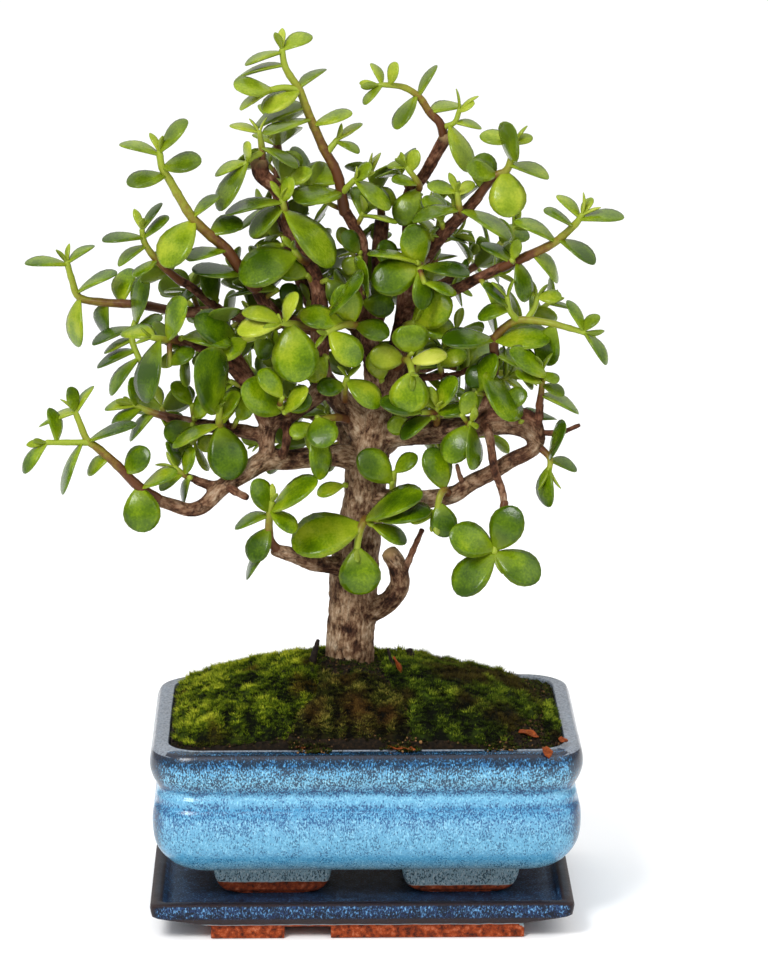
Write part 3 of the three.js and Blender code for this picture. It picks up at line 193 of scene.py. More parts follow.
# A cross-section's two directions along a path, carried on without twist: each is the last one
# less its part along the new direction.
def framesAlong(path):
    along = np.gradient(path, axis=0)
    along /= np.linalg.norm(along, axis=1, keepdims=True)
    normals = [np.cross(along[0], np.eye(3)[np.argmin(np.abs(along[0]))])]
    for direction in along:
        normals.append(unit(normals[-1] - direction * np.dot(normals[-1], direction)))
    normals = np.array(normals[1:])
    return along, normals, np.cross(along, normals)


# A round bar along a path: circles of the given radii, closed by two smaller rings at each end.
# bluntness is how far the end bulges, as a part of its radius.
def roundBar(path, radii, sides, bluntness=0.5):
    along, normal, side = framesAlong(path)
    cap = np.array([0.95, 0.6])
    lift = np.sqrt(1 - cap**2) * bluntness
    before = path[0] - along[0] * radii[0] * lift[::-1, None]
    after = path[-1] + along[-1] * radii[-1] * lift[:, None]
    middles = np.vstack([before, path, after])
    sizes = np.concatenate([radii[0] * cap[::-1], radii, radii[-1] * cap])
    normal, side = (np.pad(v, ((2, 2), (0, 0)), "edge") for v in (normal, side))
    angle = 2 * np.pi * np.arange(sides) / sides
    ring = normal[:, None] * np.cos(angle)[:, None] + side[:, None] * np.sin(angle)[:, None]
    return middles[:, None] + ring * sizes[:, None, None]


# Smooth random heights from -1 to 1: chance values on the corners of unit cells, eased between
# the eight corners of the cell that a point lies in.
def softNoise(points, seed=0):
    cell = np.floor(points).astype(np.int64)
    part = points - cell
    ease = part * part * (3 - 2 * part)
    total = np.zeros(len(points))
    for corner in range(8):
        offset = np.array([corner & 1, corner >> 1 & 1, corner >> 2])
        mixed = ((cell + offset) @ [374761393, 668265263, 1442695041] + seed * 97911) & 0xFFFFFFFF
        mixed = ((mixed ^ (mixed >> 13)) * 1274126177) & 0xFFFFFFFF
        value = ((mixed ^ (mixed >> 16)) & 0xFFFF) / 32767.5 - 1
        total += value * np.prod(np.where(offset, ease, 1 - ease), axis=1)
    return total


# The same noise at several scales, each half as large and half as strong as the last.
def layeredNoise(points, size, seed=0, layers=3):
    return sum(softNoise(points / size * 2**k, seed + k) / 2**k for k in range(layers)) / 1.6


# From 0 at low to 1 at high, level at both: three times the square less twice the cube.
def smoothStep(value, low, high):
    part = np.clip((value - low) / (high - low), 0, 1)
    return part * part * (3 - 2 * part)


# The piece's mesh with its modifiers worked in, as points in millimetres and rows of face corners
# for each size of face. The piece is dropped.
def workedOut(piece):
    mesh = bpy.data.meshes.new_from_object(piece.evaluated_get(bpy.context.evaluated_depsgraph_get()))
    points = np.empty(len(mesh.vertices) * 3, np.float32)
    mesh.vertices.foreach_get("co", points)
    sizes = np.empty(len(mesh.polygons), np.int32)
    mesh.polygons.foreach_get("loop_total", sizes)
    corners = np.empty(len(mesh.loops), np.int32)
    mesh.loops.foreach_get("vertex_index", corners)
    starts = np.cumsum(sizes) - sizes
    bpy.data.meshes.remove(mesh)
    dropPiece(piece)
    faceSets = [corners[starts[sizes == n, None] + np.arange(n)] for n in np.unique(sizes)]
    return points.reshape(-1, 3).astype(float) / millimetre, faceSets


def dropPiece(piece):
    mesh = piece.data
    bpy.data.objects.remove(piece)
    bpy.data.meshes.remove(mesh)


# Materials


# A colour as in a picture editor to the linear light that the shaders count in.
def linearColour(code):
    values = np.array([int(code[i : i + 2], 16) / 255 for i in (1, 3, 5)])
    linear = np.where(values <= 0.04045, values / 12.92, ((values + 0.055) / 1.055) ** 2.4)
    return (*linear, 1)


# Gives a node's inputs their links, colours or numbers: a tuple in the node's own order, or a
# dictionary by name or place.
def feed(node, inputs):
    for key, value in inputs.items() if isinstance(inputs, dict) else enumerate(inputs):
        if isinstance(value, bpy.types.NodeSocket):
            node.id_data.links.new(value, node.inputs[key])
        else:
            node.inputs[key].default_value = linearColour(value) if isinstance(value, str) else value


# One node with its settings and inputs, and its colour stops if it is a ramp. What comes back is
# one of its outlets.
def addNode(tree, kind, inputs=(), stops=(), outlet=0, **settings):
    node = tree.nodes.new("ShaderNode" + kind)
    for key, value in settings.items():
        setattr(node, key, value)
    feed(node, inputs)
    if stops:
        ramp = node.color_ramp.elements
        while len(ramp) < len(stops):
            ramp.new(1)
        for element, (position, colour) in zip(ramp, stops):
            element.position = position
            element.color = linearColour(colour)
    return node.outputs[outlet] if node.outputs else None


# A material with what adds its nodes, its shader, and the place of each point in millimetres.
def newMaterial(name):
    material = bpy.data.materials.new(name)
    material.use_nodes = True
    material.node_tree.nodes.clear()
    add = partial(addNode, material.node_tree)
    surface = add("BsdfPrincipled")
    add("OutputMaterial", {"Surface": surface})
    at = add("VectorMath", {0: add("TexCoord", outlet="Object"), "Scale": 1000}, operation="SCALE")
    return material, add, surface.node, at


# Stoneware: the pot and its saucer


# Loops of a rectangle with rounded corners, anticlockwise from above: a quarter circle about each
# corner's centre, then even steps along the side to the next. One loop for each row of sizes.
def roundedLoops(halfLength, halfDepth, corner, height, arc=10, longSide=44, shortSide=30):
    halfLength, halfDepth, corner, height = (
        np.broadcast_to(np.asarray(v, float), np.shape(halfLength))[:, None]
        for v in (halfLength, halfDepth, corner, height)
    )
    quarters = []
    for quarter, (signX, signY) in enumerate([(1, 1), (-1, 1), (-1, -1), (1, -1)]):
        angle = np.pi / 2 * (quarter + np.arange(arc + 1) / arc)
        x = signX * (halfLength - corner) + corner * np.cos(angle)
        y = signY * (halfDepth - corner) + corner * np.sin(angle)
        quarters.append(np.stack([x, y], axis=-1))
    spots = []
    for quarter, turned in enumerate(quarters):
        steps = shortSide if quarter % 2 else longSide
        part = (np.arange(steps - 1) + 1)[:, None] / steps
        onward = quarters[(quarter + 1) % 4][:, :1]
        spots += [turned, turned[:, -1:] * (1 - part) + onward * part]
    flat = np.concatenate(spots, axis=1)
    return np.concatenate([flat, np.broadcast_to(height[:, :, None], (*flat.shape[:2], 1))], axis=2)


pot = {
    "size": (85, 60.5, 17),  # half the length, half the depth and the corners' radius
    # height and how far inside the nominal rectangle, up the outside and down the inside
    "outside": [
        (23, 26), (23.5, 15), (25.8, 9), (29.5, 4.8), (34, 1.8), (39, 0.4), (45, 0), (50, 0.6), (52.4, 1.8),
        (55.4, 1.8), (57.6, 2.9), (60, 1.8), (63, 0.4), (67, -0.6), (71, -0.3), (74, 0.9), (75, 2.6),
    ],
    "inside": [(75, 6), (74, 7), (60, 7.8), (42, 8.6), (34, 12), (29, 19)],
    "unevenness": 0.28,  # how far the hand-pressed wall wanders
    "wander": 26,  # from one swelling of the wall to the next
    # the feet: from x to x at either side, the front's distance from the middle, and the thickness
    "foot": {"from": 13.8, "to": 61.2, "front": 40, "thickness": 15},
    "footProfile": [(11.8, 9.5), (11.9, 8), (12.4, 6), (13.8, 3.5), (16.3, 1.5), (20.3, 0.3), (27, 0)],
    "sill": (11.8, 1.1, 1.4),  # the foot's rounded lower edge: height, spread and depth
    "drainAt": 36,
    "drainRadius": 7,
    "wiped": (16.6, 14.8),  # the feet are bare of glaze below this height, left and right
}


# The outline at a height stays parallel to the nominal one, so its corners tighten as it goes in.
def potCorner(inset):
    return np.maximum(5, pot["size"][2] - inset * 0.6)


# The wall: its profile carried round the rounded rectangle, with a slow wander of the surface.
def potWall():
    outer = curveAt(pot["outside"], np.linspace(0, 1, 81))
    inner = curveAt(pot["inside"], np.linspace(0, 1, 21))
    height, inset = np.vstack([outer, inner]).T
    rings = roundedLoops(pot["size"][0] - inset, pot["size"][1] - inset, potCorner(inset), height)
    spots = rings.reshape(-1, 3)
    wander = layeredNoise(spots * [1, 1, 1.6], pot["wander"], seed=3) * pot["unevenness"]
    outward = spots * [1, 1, 0]
    outward /= np.linalg.norm(outward, axis=1, keepdims=True)
    fade = smoothStep(spots[:, 2], 27, 34)
    return loft((spots + outward * (wander * fade)[:, None]).reshape(rings.shape))


# One foot: rounded rectangles stacked up a profile that curls in towards the bottom.
def potFoot(signX, signY):
    foot, (level, spread, depth) = pot["foot"], pot["sill"]
    height, inset = curveAt(pot["footProfile"], np.linspace(0, 1, 33)).T
    half = (foot["to"] - foot["from"]) / 2
    sill = depth * np.exp(-(((height - level) / spread) ** 2))
    rings = roundedLoops(half - inset, foot["thickness"] / 2 - sill, 2.6, height, 4, 10, 5)
    middle = signX * (foot["from"] + foot["to"]) / 2, signY * (foot["front"] - foot["thickness"] / 2)
    return loft(rings + [*middle, 0])


# An upright cylinder over the middle line: two circles, joined and closed.
def drum(radius, low, high, x, sides=48):
    angle = 2 * np.pi * np.arange(sides) / sides
    circle = np.stack([x + radius * np.cos(angle), radius * np.sin(angle), 0 * angle], axis=1)
    return loft(np.stack([circle + [0, 0, low], circle + [0, 0, high]]))


# A block between pairs of x, y and z: two rounded rectangles, joined and closed.
def brick(x, y, z):
    halves = np.array([(x[1] - x[0]) / 2] * 2)
    rings = roundedLoops(halves, (y[1] - y[0]) / 2, 0.4, np.array(z, float), 2, 2, 2)
    return loft(rings + [(x[0] + x[1]) / 2, (y[0] + y[1]) / 2, 0])


# Clay bodies joined, and cutters taken away, as one closed body.
def clayBody(whole, joined, cutters=()):
    base = makePiece("clay", *whole)
    helpers = []
    for operation, parts in (("UNION", joined), ("DIFFERENCE", cutters)):
        for part in parts:
            cut = base.modifiers.new(operation, "BOOLEAN")
            cut.operation = operation
            cut.solver = "EXACT"
            cut.object = makePiece("clay_part", *part)
            helpers.append(cut.object)
    body = workedOut(base)
    for helper in helpers:
        dropPiece(helper)
    return body


# Distance outside a rectangle with rounded corners, less than 0 within it.
def reachBeyond(points, halfLength, halfDepth, corner):
    x = np.abs(points[:, 0]) - halfLength + corner
    y = np.abs(points[:, 1]) - halfDepth + corner
    return np.hypot(np.maximum(x, 0), np.maximum(y, 0)) + np.minimum(np.maximum(x, y), 0) - corner


# How far round a corner a point lies: 0 on the flat sides and 1 on the turned part.
def cornerPart(points, halfLength, halfDepth, corner):
    x = smoothStep(np.abs(points[:, 0]), halfLength - corner * 0.45, halfLength - corner * 0.05)
    y = smoothStep(np.abs(points[:, 1]), halfDepth - corner * 1.2, halfDepth - corner * 0.5)
    return x * y


# How the surface bends along a profile at each height: more than 0 on an outward edge, where
# glaze runs thin, and less than 0 in a groove, where it pools.
def bendAt(profile, heights):
    path = curveAt(profile, np.linspace(0, 1, 300))
    heading = np.unwrap(np.arctan2(*np.gradient(path, axis=0).T[::-1]))
    length = np.concatenate([[0], np.cumsum(np.linalg.norm(np.diff(path, axis=0), axis=1))])
    bend = np.gradient(heading, length)
    return np.interp(heights, path[:, 0], np.convolve(bend, np.ones(9) / 9, "same"))


# A glazed piece with what its glaze follows; edges sharper than the angle stay crisp.
def glazedPiece(name, points, faces, crisp, **values):
    piece = makePiece(name, points, faces, {key: value.astype(float) for key, value in values.items()})
    piece.data.set_sharp_from_angle(angle=math.radians(crisp))
    return piece


# The pot: wall and feet less the drain holes, with how the surface bends, how far it lies round a
# corner, its inner lip and the rim tops at the sides and back, which take a painted reflection, and
# what is left without glaze.
def buildPot():
    feet = [potFoot(signX, signY) for signX in (-1, 1) for signY in (-1, 1)]
    drains = [drum(pot["drainRadius"], 20, 40, x) for x in (-pot["drainAt"], pot["drainAt"])]
    points, faces = clayBody(potWall(), feet, drains)
    height = points[:, 2]
    x, y = np.abs(points[:, 0]), np.abs(points[:, 1])
    reach = reachBeyond(points, *pot["size"])
    outside = smoothStep(reach, -5.5, -4) * (height > 27)
    # the inner lip and the rim tops at the sides and back are painted light grey in the glaze, a painted
    # reflection of the bright surroundings
    sheenSidesAndBack = (x > 77.5) | (points[:, 1] > 50)
    inside = (reach < -5.5) & (height > 31) | sheenSidesAndBack & (height > 73.5)
    # the feet's soles are wiped clean of glaze, and so is the underside
    wiped = np.where(points[:, 0] < 0, *pot["wiped"])
    bare = 1 - smoothStep(height, wiped - 1, wiped + 1)
    atFoot = (x > 13) & (x < 62) & (y > 24) & (y < 41)
    bare = np.maximum(bare, (height < 23.9) & (reach < -14) & ~atFoot)
    bend = np.clip(bendAt(pot["outside"], height) * 3, -1, 1) * outside * smoothStep(height, 70, 74)
    corner = cornerPart(points, *pot["size"])
    return glazedPiece("glazed_pot", points, faces, 50, bend=bend, corner=corner, inside=inside, bare=bare)


saucer = {
    "centre": (-2, -4, 0),
    "size": (83.7, 60, 2.5),
    # height and how far inside the length and the depth, from the foot up over the rim to the well
    "profile": [
        (4.8, 26, 5), (4.8, 24, 3.8), (6.4, 15.6, 2.4), (8.2, 6, 1.2), (9.1, 2, 0.6), (9.8, 0.7, 0.4),
        (11.5, 0.3, 0.2), (13.6, 0, 0), (14.4, 0.1, 0.1), (14.85, 0.6, 0.6), (15.05, 1.6, 1.6),
        (15.05, 3.2, 3.2), (14.85, 4.2, 4.2), (14.2, 5, 5), (12.6, 6.2, 6.2), (11.7, 7.2, 7.2), (11.5, 9, 9),
    ],
    # from x to x, y to y and z to z: the foot, what is hollow in it, its two notches and its pad
    "foot": ((-61.8, 62), (-60, 52), (0, 6.8)),
    "hollows": [
        ((-55.3, 55.5), (-53.5, 45.5), (-1, 4.8)), ((-32.8, -14.4), (-62, -52), (-1, 4.8)),
        ((-32.8, -14.4), (44, 54), (-1, 4.8)),
    ],
    "pad": ((-22, 18), (-16, 12), (0, 6.8)),
}


# The saucer: its profile round the rectangle, with the foot and the pad joined on.
def buildSaucer():
    height, insetX, insetY = np.array(saucer["profile"]).T
    halfLength, halfDepth, corner = saucer["size"]
    rings = roundedLoops(halfLength - insetX, halfDepth - insetY, corner, height, 5, 60, 44)
    hollows = [brick(*hollow) for hollow in saucer["hollows"]]
    dish = clayBody(loft(rings + saucer["centre"]), [brick(*saucer["foot"])], hollows)
    points, faces = clayBody(dish, [brick(*saucer["pad"])])
    height = points[:, 2]
    local = points - saucer["centre"]
    reach = reachBeyond(local, *saucer["size"])
    rim = np.exp(-(((height - 14.7) / 0.45) ** 2)) * smoothStep(reach, -7, -5.2)
    # the sill darkens the rim's rounded lower edge with the thin-glaze colour: partly glaze thinning over the
    # edge, partly painted shade under the rim
    sill = 0.8 * (1 - smoothStep(height, 8.2, 9.8)) * smoothStep(reach, -4.5, -3)
    bare = (1 - smoothStep(height, 4.4, 6.2)) * (reach < -3)
    inside = (reach < -5.2) & (height > 10)
    bend, corner = np.maximum(rim, sill), cornerPart(local, halfLength, halfDepth, 9)
    return glazedPiece("glazed_saucer", points, faces, 40, bend=bend, corner=corner, inside=inside, bare=bare)


# Soil and moss

ground = {
    "edge": 72,  # soil level beside the wall
    "mound": 25,  # how far it rises to the trunk
    "top": (-7, -10),  # where the mound is highest
    "wall": 7.2,  # how thick the pot's wall is at the soil's edge
    "clearOfWall": 0.3,
    "crumb": 0.55,  # height of the crumbs
    "grains": 2600,
    "grainSize": (0.5, 1.5),
    "rim": -53.5,  # the front rim begins at this y, and is this high
    "rimHeight": 75,
    # heaps of crumbs and straw at the front rim: x, y, spread, count
    "spills": [(-20, -56, 3, 50), (-28, -54, 1.5, 14), (3, -47, 5, 70), (14, -55, 3, 40), (52, -54, 4, 30)],
}


def flatSpots(x, y):
    return np.stack([x, y, 0 * x], axis=1)


# Height of the soil: a mound that is highest at the trunk and lower to the right, a rounded
# product of two half circles, with a collar round the trunk and small unevenness.
def soilHeight(x, y):
    dx, dy = x - ground["top"][0], y - ground["top"][1]
    alongX = np.maximum(0, 1 - (dx / np.where(dx < 0, 75, 89)) ** 2)
    alongY = np.maximum(0, 1 - (dy / np.where(dy < 0, 47, 67)) ** 2)
    mound = (alongX * alongY) ** 0.75 * (1 - 0.0025 * np.maximum(0, dx))
    collar = 2.5 * np.exp(-(dx * dx + dy * dy) / 180)
    uneven = np.sin(x * 0.19 + 1.3) * np.sin(y * 0.23 + 0.4)
    return ground["edge"] + ground["mound"] * mound + collar + uneven * mound


# Height of the crumbs: fine noise and the size of a coarser one.
def soilCrumbs(x, y):
    fine = layeredNoise(flatSpots(x, y), 2.6, seed=31)
    return ground["crumb"] * (0.6 * fine + 0.7 * np.abs(softNoise(flatSpots(x, y) / 5.2, 37)))


# The soil's body: up the inside of the pot's wall, then loops that shrink over the mound.
def buildSoil():
    height, inset = curveAt(pot["inside"][::-1], np.linspace(0, 0.76, 14)).T
    height[0] = 29.3
    gap, edge, steps = ground["clearOfWall"], ground["wall"], (8, 56, 38)
    length, depth, corner = pot["size"]
    below = roundedLoops(length - inset - gap, depth - inset - gap, potCorner(inset), height, *steps)
    part = np.concatenate([[1, 0.995], np.linspace(0.985, 0.02, 72)])
    halves = ((length - edge) * part - gap, (depth - edge) * part - gap)
    top = roundedLoops(*halves, corner * part * 0.8, 0 * part, *steps)
    x, y = top[..., 0].ravel(), top[..., 1].ravel()
    rise = soilHeight(x, y) + soilCrumbs(x, y) * np.repeat(smoothStep(1 - part, 0, 0.02), top.shape[1])
    top[..., 2] = rise.reshape(top.shape[:2])
    return makePiece("bonsai_soil", *loft(np.concatenate([below, top])))


# Loose grains: a twenty-faced ball whose corners are pushed in and out by chance, flattened and
# turned by chance, and sunk a third into the soil.
def grains(spots, sizes, random):
    golden = (1 + math.sqrt(5)) / 2
    ball = np.array([
        (-1, golden, 0), (1, golden, 0), (-1, -golden, 0), (1, -golden, 0), (0, -1, golden), (0, 1, golden),
        (0, -1, -golden), (0, 1, -golden), (golden, 0, -1), (golden, 0, 1), (-golden, 0, -1), (-golden, 0, 1),
    ]) / math.hypot(1, golden)
    faces = np.array([
        (0, 11, 5), (0, 5, 1), (0, 1, 7), (0, 7, 10), (0, 10, 11), (1, 5, 9), (5, 11, 4), (11, 10, 2),
        (10, 7, 6), (7, 1, 8), (3, 9, 4), (3, 4, 2), (3, 2, 6), (3, 6, 8), (3, 8, 9), (4, 9, 5), (2, 4, 11),
        (6, 2, 10), (8, 6, 7), (9, 8, 1),
    ])
    count = len(spots)
    shape = ball[None] * random.uniform(0.75, 1.2, (count, 12, 1)) * random.uniform(0.6, 1.1, (count, 1, 3))
    turn = random.uniform(0, 2 * np.pi, (count, 1))
    x = shape[..., 0] * np.cos(turn) - shape[..., 1] * np.sin(turn)
    y = shape[..., 0] * np.sin(turn) + shape[..., 1] * np.cos(turn)
    shape = np.stack([x, y, shape[..., 2]], axis=-1)
    points = (spots[:, None] + shape * sizes[:, None, None] / 2).reshape(-1, 3)
    index = faces[None] + 12 * np.arange(count)[:, None, None]
    return points, [index.reshape(-1, 3)]


# Each cushion's outline, and its parched spots: x, y, reach and how far they have dried.
cushions = {
    "left": {
        "outline": [
            (-21, 0), (-16, 17), (-6, 25), (-4, 38), (-5, 50), (-25, 51), (-47, 51), (-63, 50), (-72, 44),
            (-76, 33), (-76, 12), (-76, -10), (-76, -32), (-73, -44), (-66, -50), (-56, -52), (-42, -52),
            (-32, -51), (-27, -42), (-21, -35), (-20, -16),
        ],
        "parched": [
            (-46, -5, 5, 0.7), (-74, 5, 5, 0.6), (-24, -30, 7, 0.8), (-20, -8, 6, 0.8), (-60, -50, 6, 0.6),
        ],
        "lift": 0, "tufts": 5400, "length": (1.4, 3), "clump": 4.6, "seed": 11,
    },
    "right": {
        "outline": [
            (8, -14), (11, -26), (17, -38), (18, -51), (32, -52), (46, -52), (54, -48), (58, -39), (65, -30),
            (69, -18), (70, -4), (67, 12), (64, 26), (60, 40), (54, 49), (33, 51), (1, 50), (0, 38), (0, 25),
            (5, 14), (7, 0),
        ],
        "parched": [
            (38, -8, 12, 0.85), (50, 8, 13, 0.85), (63, 5, 13, 1), (56, -38, 9, 0.8), (40, -32, 8, 0.6),
            (34, 16, 9, 0.7), (14, -34, 6, 0.7), (60, 28, 9, 0.8),
        ],
        "lift": 0.4, "tufts": 5400, "length": (1.3, 3.1), "clump": 5, "seed": 12,
    },
    "dry": {
        "outline": [
            (-18, -22), (-18, -34), (-22, -38), (-26, -44), (-28, -51), (-14, -52), (2, -52), (15, -52),
            (14, -40), (8, -28), (3, -23), (-8, -24),
        ],
        "parched": [(-4, -44, 8, 0.7), (-20, -46, 6, 0.6), (-8, -28, 6, 0.5), (8, -47, 5, 0.7)],
        "lift": 0.6, "tufts": 2000, "length": (1.2, 3), "clump": 3.2, "seed": 13,
    },
    "patch": {
        "outline": [(72, -42), (75, -43), (77, -30), (77, -10), (76, 4), (73, 2), (72, -14), (71, -30)],
        "parched": [(74, -40, 5, 0.7)],
        "lift": 0, "tufts": 420, "length": (1, 2.4), "clump": 4, "seed": 14,
    },
}
moss = {
    "thickness": 2.6,
    "lumps": 1.8,  # height of the cushions' lumps
    "foot": -2.5,  # from the soil's surface down to the cushion's underside
    "spikes": 8,  # leaves in a tuft
    "spikeRadius": (0.13, 0.25),
    "slopeStep": 0.3,  # the slope is measured over this
    "strays": 1400,  # tufts on the soil between the cushions
    "strayLength": (0.9, 2),
}


# How far each spot lies from a cushion's middle to its edge, from 0 to 1.
def mossReach(cushion, x, y):
    outline = closedCurve(cushion["outline"], 240)
    middle = np.mean(cushion["outline"], axis=0)
    edgeAngle = np.arctan2(outline[:, 1] - middle[1], outline[:, 0] - middle[0])
    edgeReach = np.linalg.norm(outline - middle, axis=1)
    order = np.argsort(edgeAngle)
    angle = np.arctan2(y - middle[1], x - middle[0])
    reach = np.interp(angle, edgeAngle[order], edgeReach[order], period=2 * np.pi)
    return np.hypot(x - middle[0], y - middle[1]) / reach


# The moss's height over the soil, which falls off to its edge, and its lumps.
def mossRise(cushion, x, y):
    reach = mossReach(cushion, x, y)
    thick, lift = moss["thickness"], cushion["lift"]
    levels = [thick + lift, thick + lift, thick + lift * 0.4, thick * 0.9, thick * 0.6, 0.2]
    rise = np.interp(reach, [0, 0.32, 0.6, 0.9, 0.985, 1], levels)
    lumps = moss["lumps"] * layeredNoise(flatSpots(x, y), cushion["clump"], seed=cushion["seed"])
    bump = 0.5 * np.sin(x * 0.37) * np.sin(y * 0.41 + 1)
    return rise + (bump + lumps) * smoothStep(1 - reach, -0.02, 0.05), lumps


# How dry the moss is: a bell over each of the parched spots, the strongest counting.
def parchedAt(cushion, x, y):
    return np.max([
        share * np.exp(-((x - a) ** 2 + (y - b) ** 2) / reach**2) for a, b, reach, share in cushion["parched"]
    ], axis=0)


# The cushion's body: loops from below the soil out to the outline and back in over the top.
def mossBody(cushion):
    outline = closedCurve(cushion["outline"], 160)
    middle = np.mean(cushion["outline"], axis=0)
    part = np.concatenate([[0.03, 0.6, 1, 1, 0.985, 0.96], np.linspace(0.93, 0.03, 34)])
    flat = middle + (outline - middle)[None] * part[:, None, None]
    x, y = flat[..., 0].ravel(), flat[..., 1].ravel()
    rise, lumps = mossRise(cushion, x, y)
    rise = rise.reshape(flat.shape[:2])
    rise[:3] = moss["foot"]
    height = soilHeight(x, y).reshape(flat.shape[:2]) + rise
    points, faces = loft(np.concatenate([flat, height[..., None]], axis=2))
    return points, faces, np.pad(lumps, (0, 2))


# Tufts of moss: from each foot slim three-sided spikes lean apart, each the golden angle further
# round than the last, and the whole tuft leans with the slope. A spike is its foot's three
# corners and a tip, thicker than a real moss leaf, which would be too fine to see.
def mossTufts(foot, slope, length, random):
    shape = (len(foot), moss["spikes"])
    compass = random.uniform(0, 2 * np.pi, (len(foot), 1)) + np.arange(moss["spikes"]) * 2.4
    compass = compass + random.normal(0, 0.3, shape)
    outward = np.stack([np.cos(compass), np.sin(compass), 0 * compass], axis=-1)
    lean = outward * random.uniform(0.1, 0.95, shape)[..., None] + [0, 0, 1]
    lean[..., :2] -= slope[:, None] * 0.8
    lean /= np.linalg.norm(lean, axis=-1, keepdims=True)
    start = foot[:, None] + outward * 0.35
    angle = compass[..., None] + np.arange(3) * 2 * np.pi / 3
    width = random.uniform(*moss["spikeRadius"], shape)[..., None]
    base = start[:, :, None] + np.stack([np.cos(angle) * width, np.sin(angle) * width, 0 * angle], axis=-1)
    tip = start + lean * (length[:, None] * random.uniform(0.6, 1.1, shape))[..., None]
    points = np.concatenate([base, tip[:, :, None]], axis=2).reshape(-1, 3)
    faces = np.array([(0, 2, 1), (0, 1, 3), (1, 2, 3), (2, 0, 3)])
    index = (faces[None] + 4 * np.arange(shape[0] * shape[1])[:, None, None]).reshape(-1, 3)
    atTip = np.tile([0.0, 0, 0, 1], shape[0] * shape[1])
    chance = random.uniform(-1, 1, (len(foot), 1)) + random.uniform(-0.35, 0.35, shape)
    return (points, [index]), atTip, np.repeat(chance.ravel(), 4)


# A cushion: its body, with tufts where chance sets them inside the outline.
def buildMoss(side):
    cushion = cushions[side]
    random = np.random.default_rng(cushion["seed"])
    bodyPoints, bodyFaces, bodyLumps = mossBody(cushion)
    low, high = np.min(cushion["outline"], axis=0), np.max(cushion["outline"], axis=0)
    x, y = random.uniform(low, high, (cushion["tufts"] * 2, 2)).T
    keep = np.flatnonzero(mossReach(cushion, x, y) < 1.03)[: cushion["tufts"]]
    x, y = x[keep], y[keep]
    rise, lumps = mossRise(cushion, x, y)
    level = soilHeight(x, y)
    step = moss["slopeStep"]
    slope = np.stack([
        mossRise(cushion, x + dx, y + dy)[0] - rise + soilHeight(x + dx, y + dy) - level
        for dx, dy in ((step, 0), (0, step))
    ], axis=1) / step
    length = random.uniform(*cushion["length"], len(x)) * (0.8 + 0.35 * np.clip(lumps, -1, 1.3))
    foot = np.stack([x, y, level + rise - 0.35], axis=1)
    spikes, atTip, chance = mossTufts(foot, np.clip(slope, -1.2, 1.2), length, random)
    points, faces = together([(bodyPoints, bodyFaces), spikes])
    values = {
        "tip": np.concatenate([0 * bodyLumps, atTip]),
        "chance": np.concatenate([0 * bodyLumps, chance]),
        "lump": np.concatenate([bodyLumps, np.repeat(lumps, 4 * moss["spikes"])]),
        "parched": parchedAt(cushion, *points[:, :2].T),
    }
    return makePiece("moss_cushion_" + side, points, faces, values)


# Spots on the soil that the cushions leave bare, inside the pot's wall.
def bareSpots(count, random):
    x, y = random.uniform((-77, -53.4), (77, 53), (count * 12, 2)).T
    bare = np.all([mossReach(cushion, x, y) > 0.97 for cushion in cushions.values()], axis=0)
    inWall = (np.maximum(np.abs(x) - 65, 0) ** 2 + np.maximum(np.abs(y) - 41, 0) ** 2) < 12**2
    keep = np.flatnonzero(bare & inWall)[:count]
    return x[keep], y[keep]


# Spots of the heaps at the front rim, with the height of what they lie on there.
def spillSpots(random):
    spills = np.array(ground["spills"], float)
    heaps = np.repeat(spills[:, :3], spills[:, 3].astype(int), axis=0)
    x, y = heaps[:, :2].T + random.normal(0, 1, (2, len(heaps))) * heaps[:, 2] * [[1], [0.4]]
    y = np.maximum(y, -58)
    level = np.maximum(soilHeight(x, y) + 0.4, np.where(y < ground["rim"], ground["rimHeight"], 0))
    return np.stack([x, y, level + 0.4 * np.abs(random.normal(0, 1, len(x)))], axis=1)


# Small tufts that have seeded themselves between the cushions and on the crumbs at the rim.
def buildStrays():
    random = np.random.default_rng(15)
    x, y = bareSpots(moss["strays"], random)
    foot = np.stack([x, y, soilHeight(x, y) + soilCrumbs(x, y) - 0.2], axis=1)
    foot = np.vstack([foot, spillSpots(random)])
    size = random.uniform(*moss["strayLength"], len(foot))
    (points, faces), atTip, chance = mossTufts(foot, np.zeros((len(foot), 2)), size, random)
    # the strays count as lying a little low, so the lump share paints a little shade onto them
    values = {"tip": atTip, "chance": chance, "lump": 0 * chance - 0.2, "parched": np.abs(chance) * 0.6}
    return makePiece("stray_moss", points, faces, values)


# Grains lie on the soil that the moss leaves bare; those of the heaps are tan.
def buildGrit():
    random = np.random.default_rng(5)
    x, y = bareSpots(ground["grains"], random)
    heaps = spillSpots(random)
    spots = np.vstack([np.stack([x, y, soilHeight(x, y) + soilCrumbs(x, y)], axis=1), heaps])
    size = random.uniform(*ground["grainSize"], len(spots)) * random.uniform(0.7, 1.3, len(spots))
    spots[:, 2] += size * random.uniform(-0.1, 0.35, len(spots))
    points, faces = grains(spots, size, random)
    chance = np.concatenate([random.uniform(-1, 1, len(x)), random.uniform(0.2, 1.6, len(heaps))])
    return makePiece("soil_grains", points, faces, {"chance": np.repeat(chance, 12)})


# Old wood

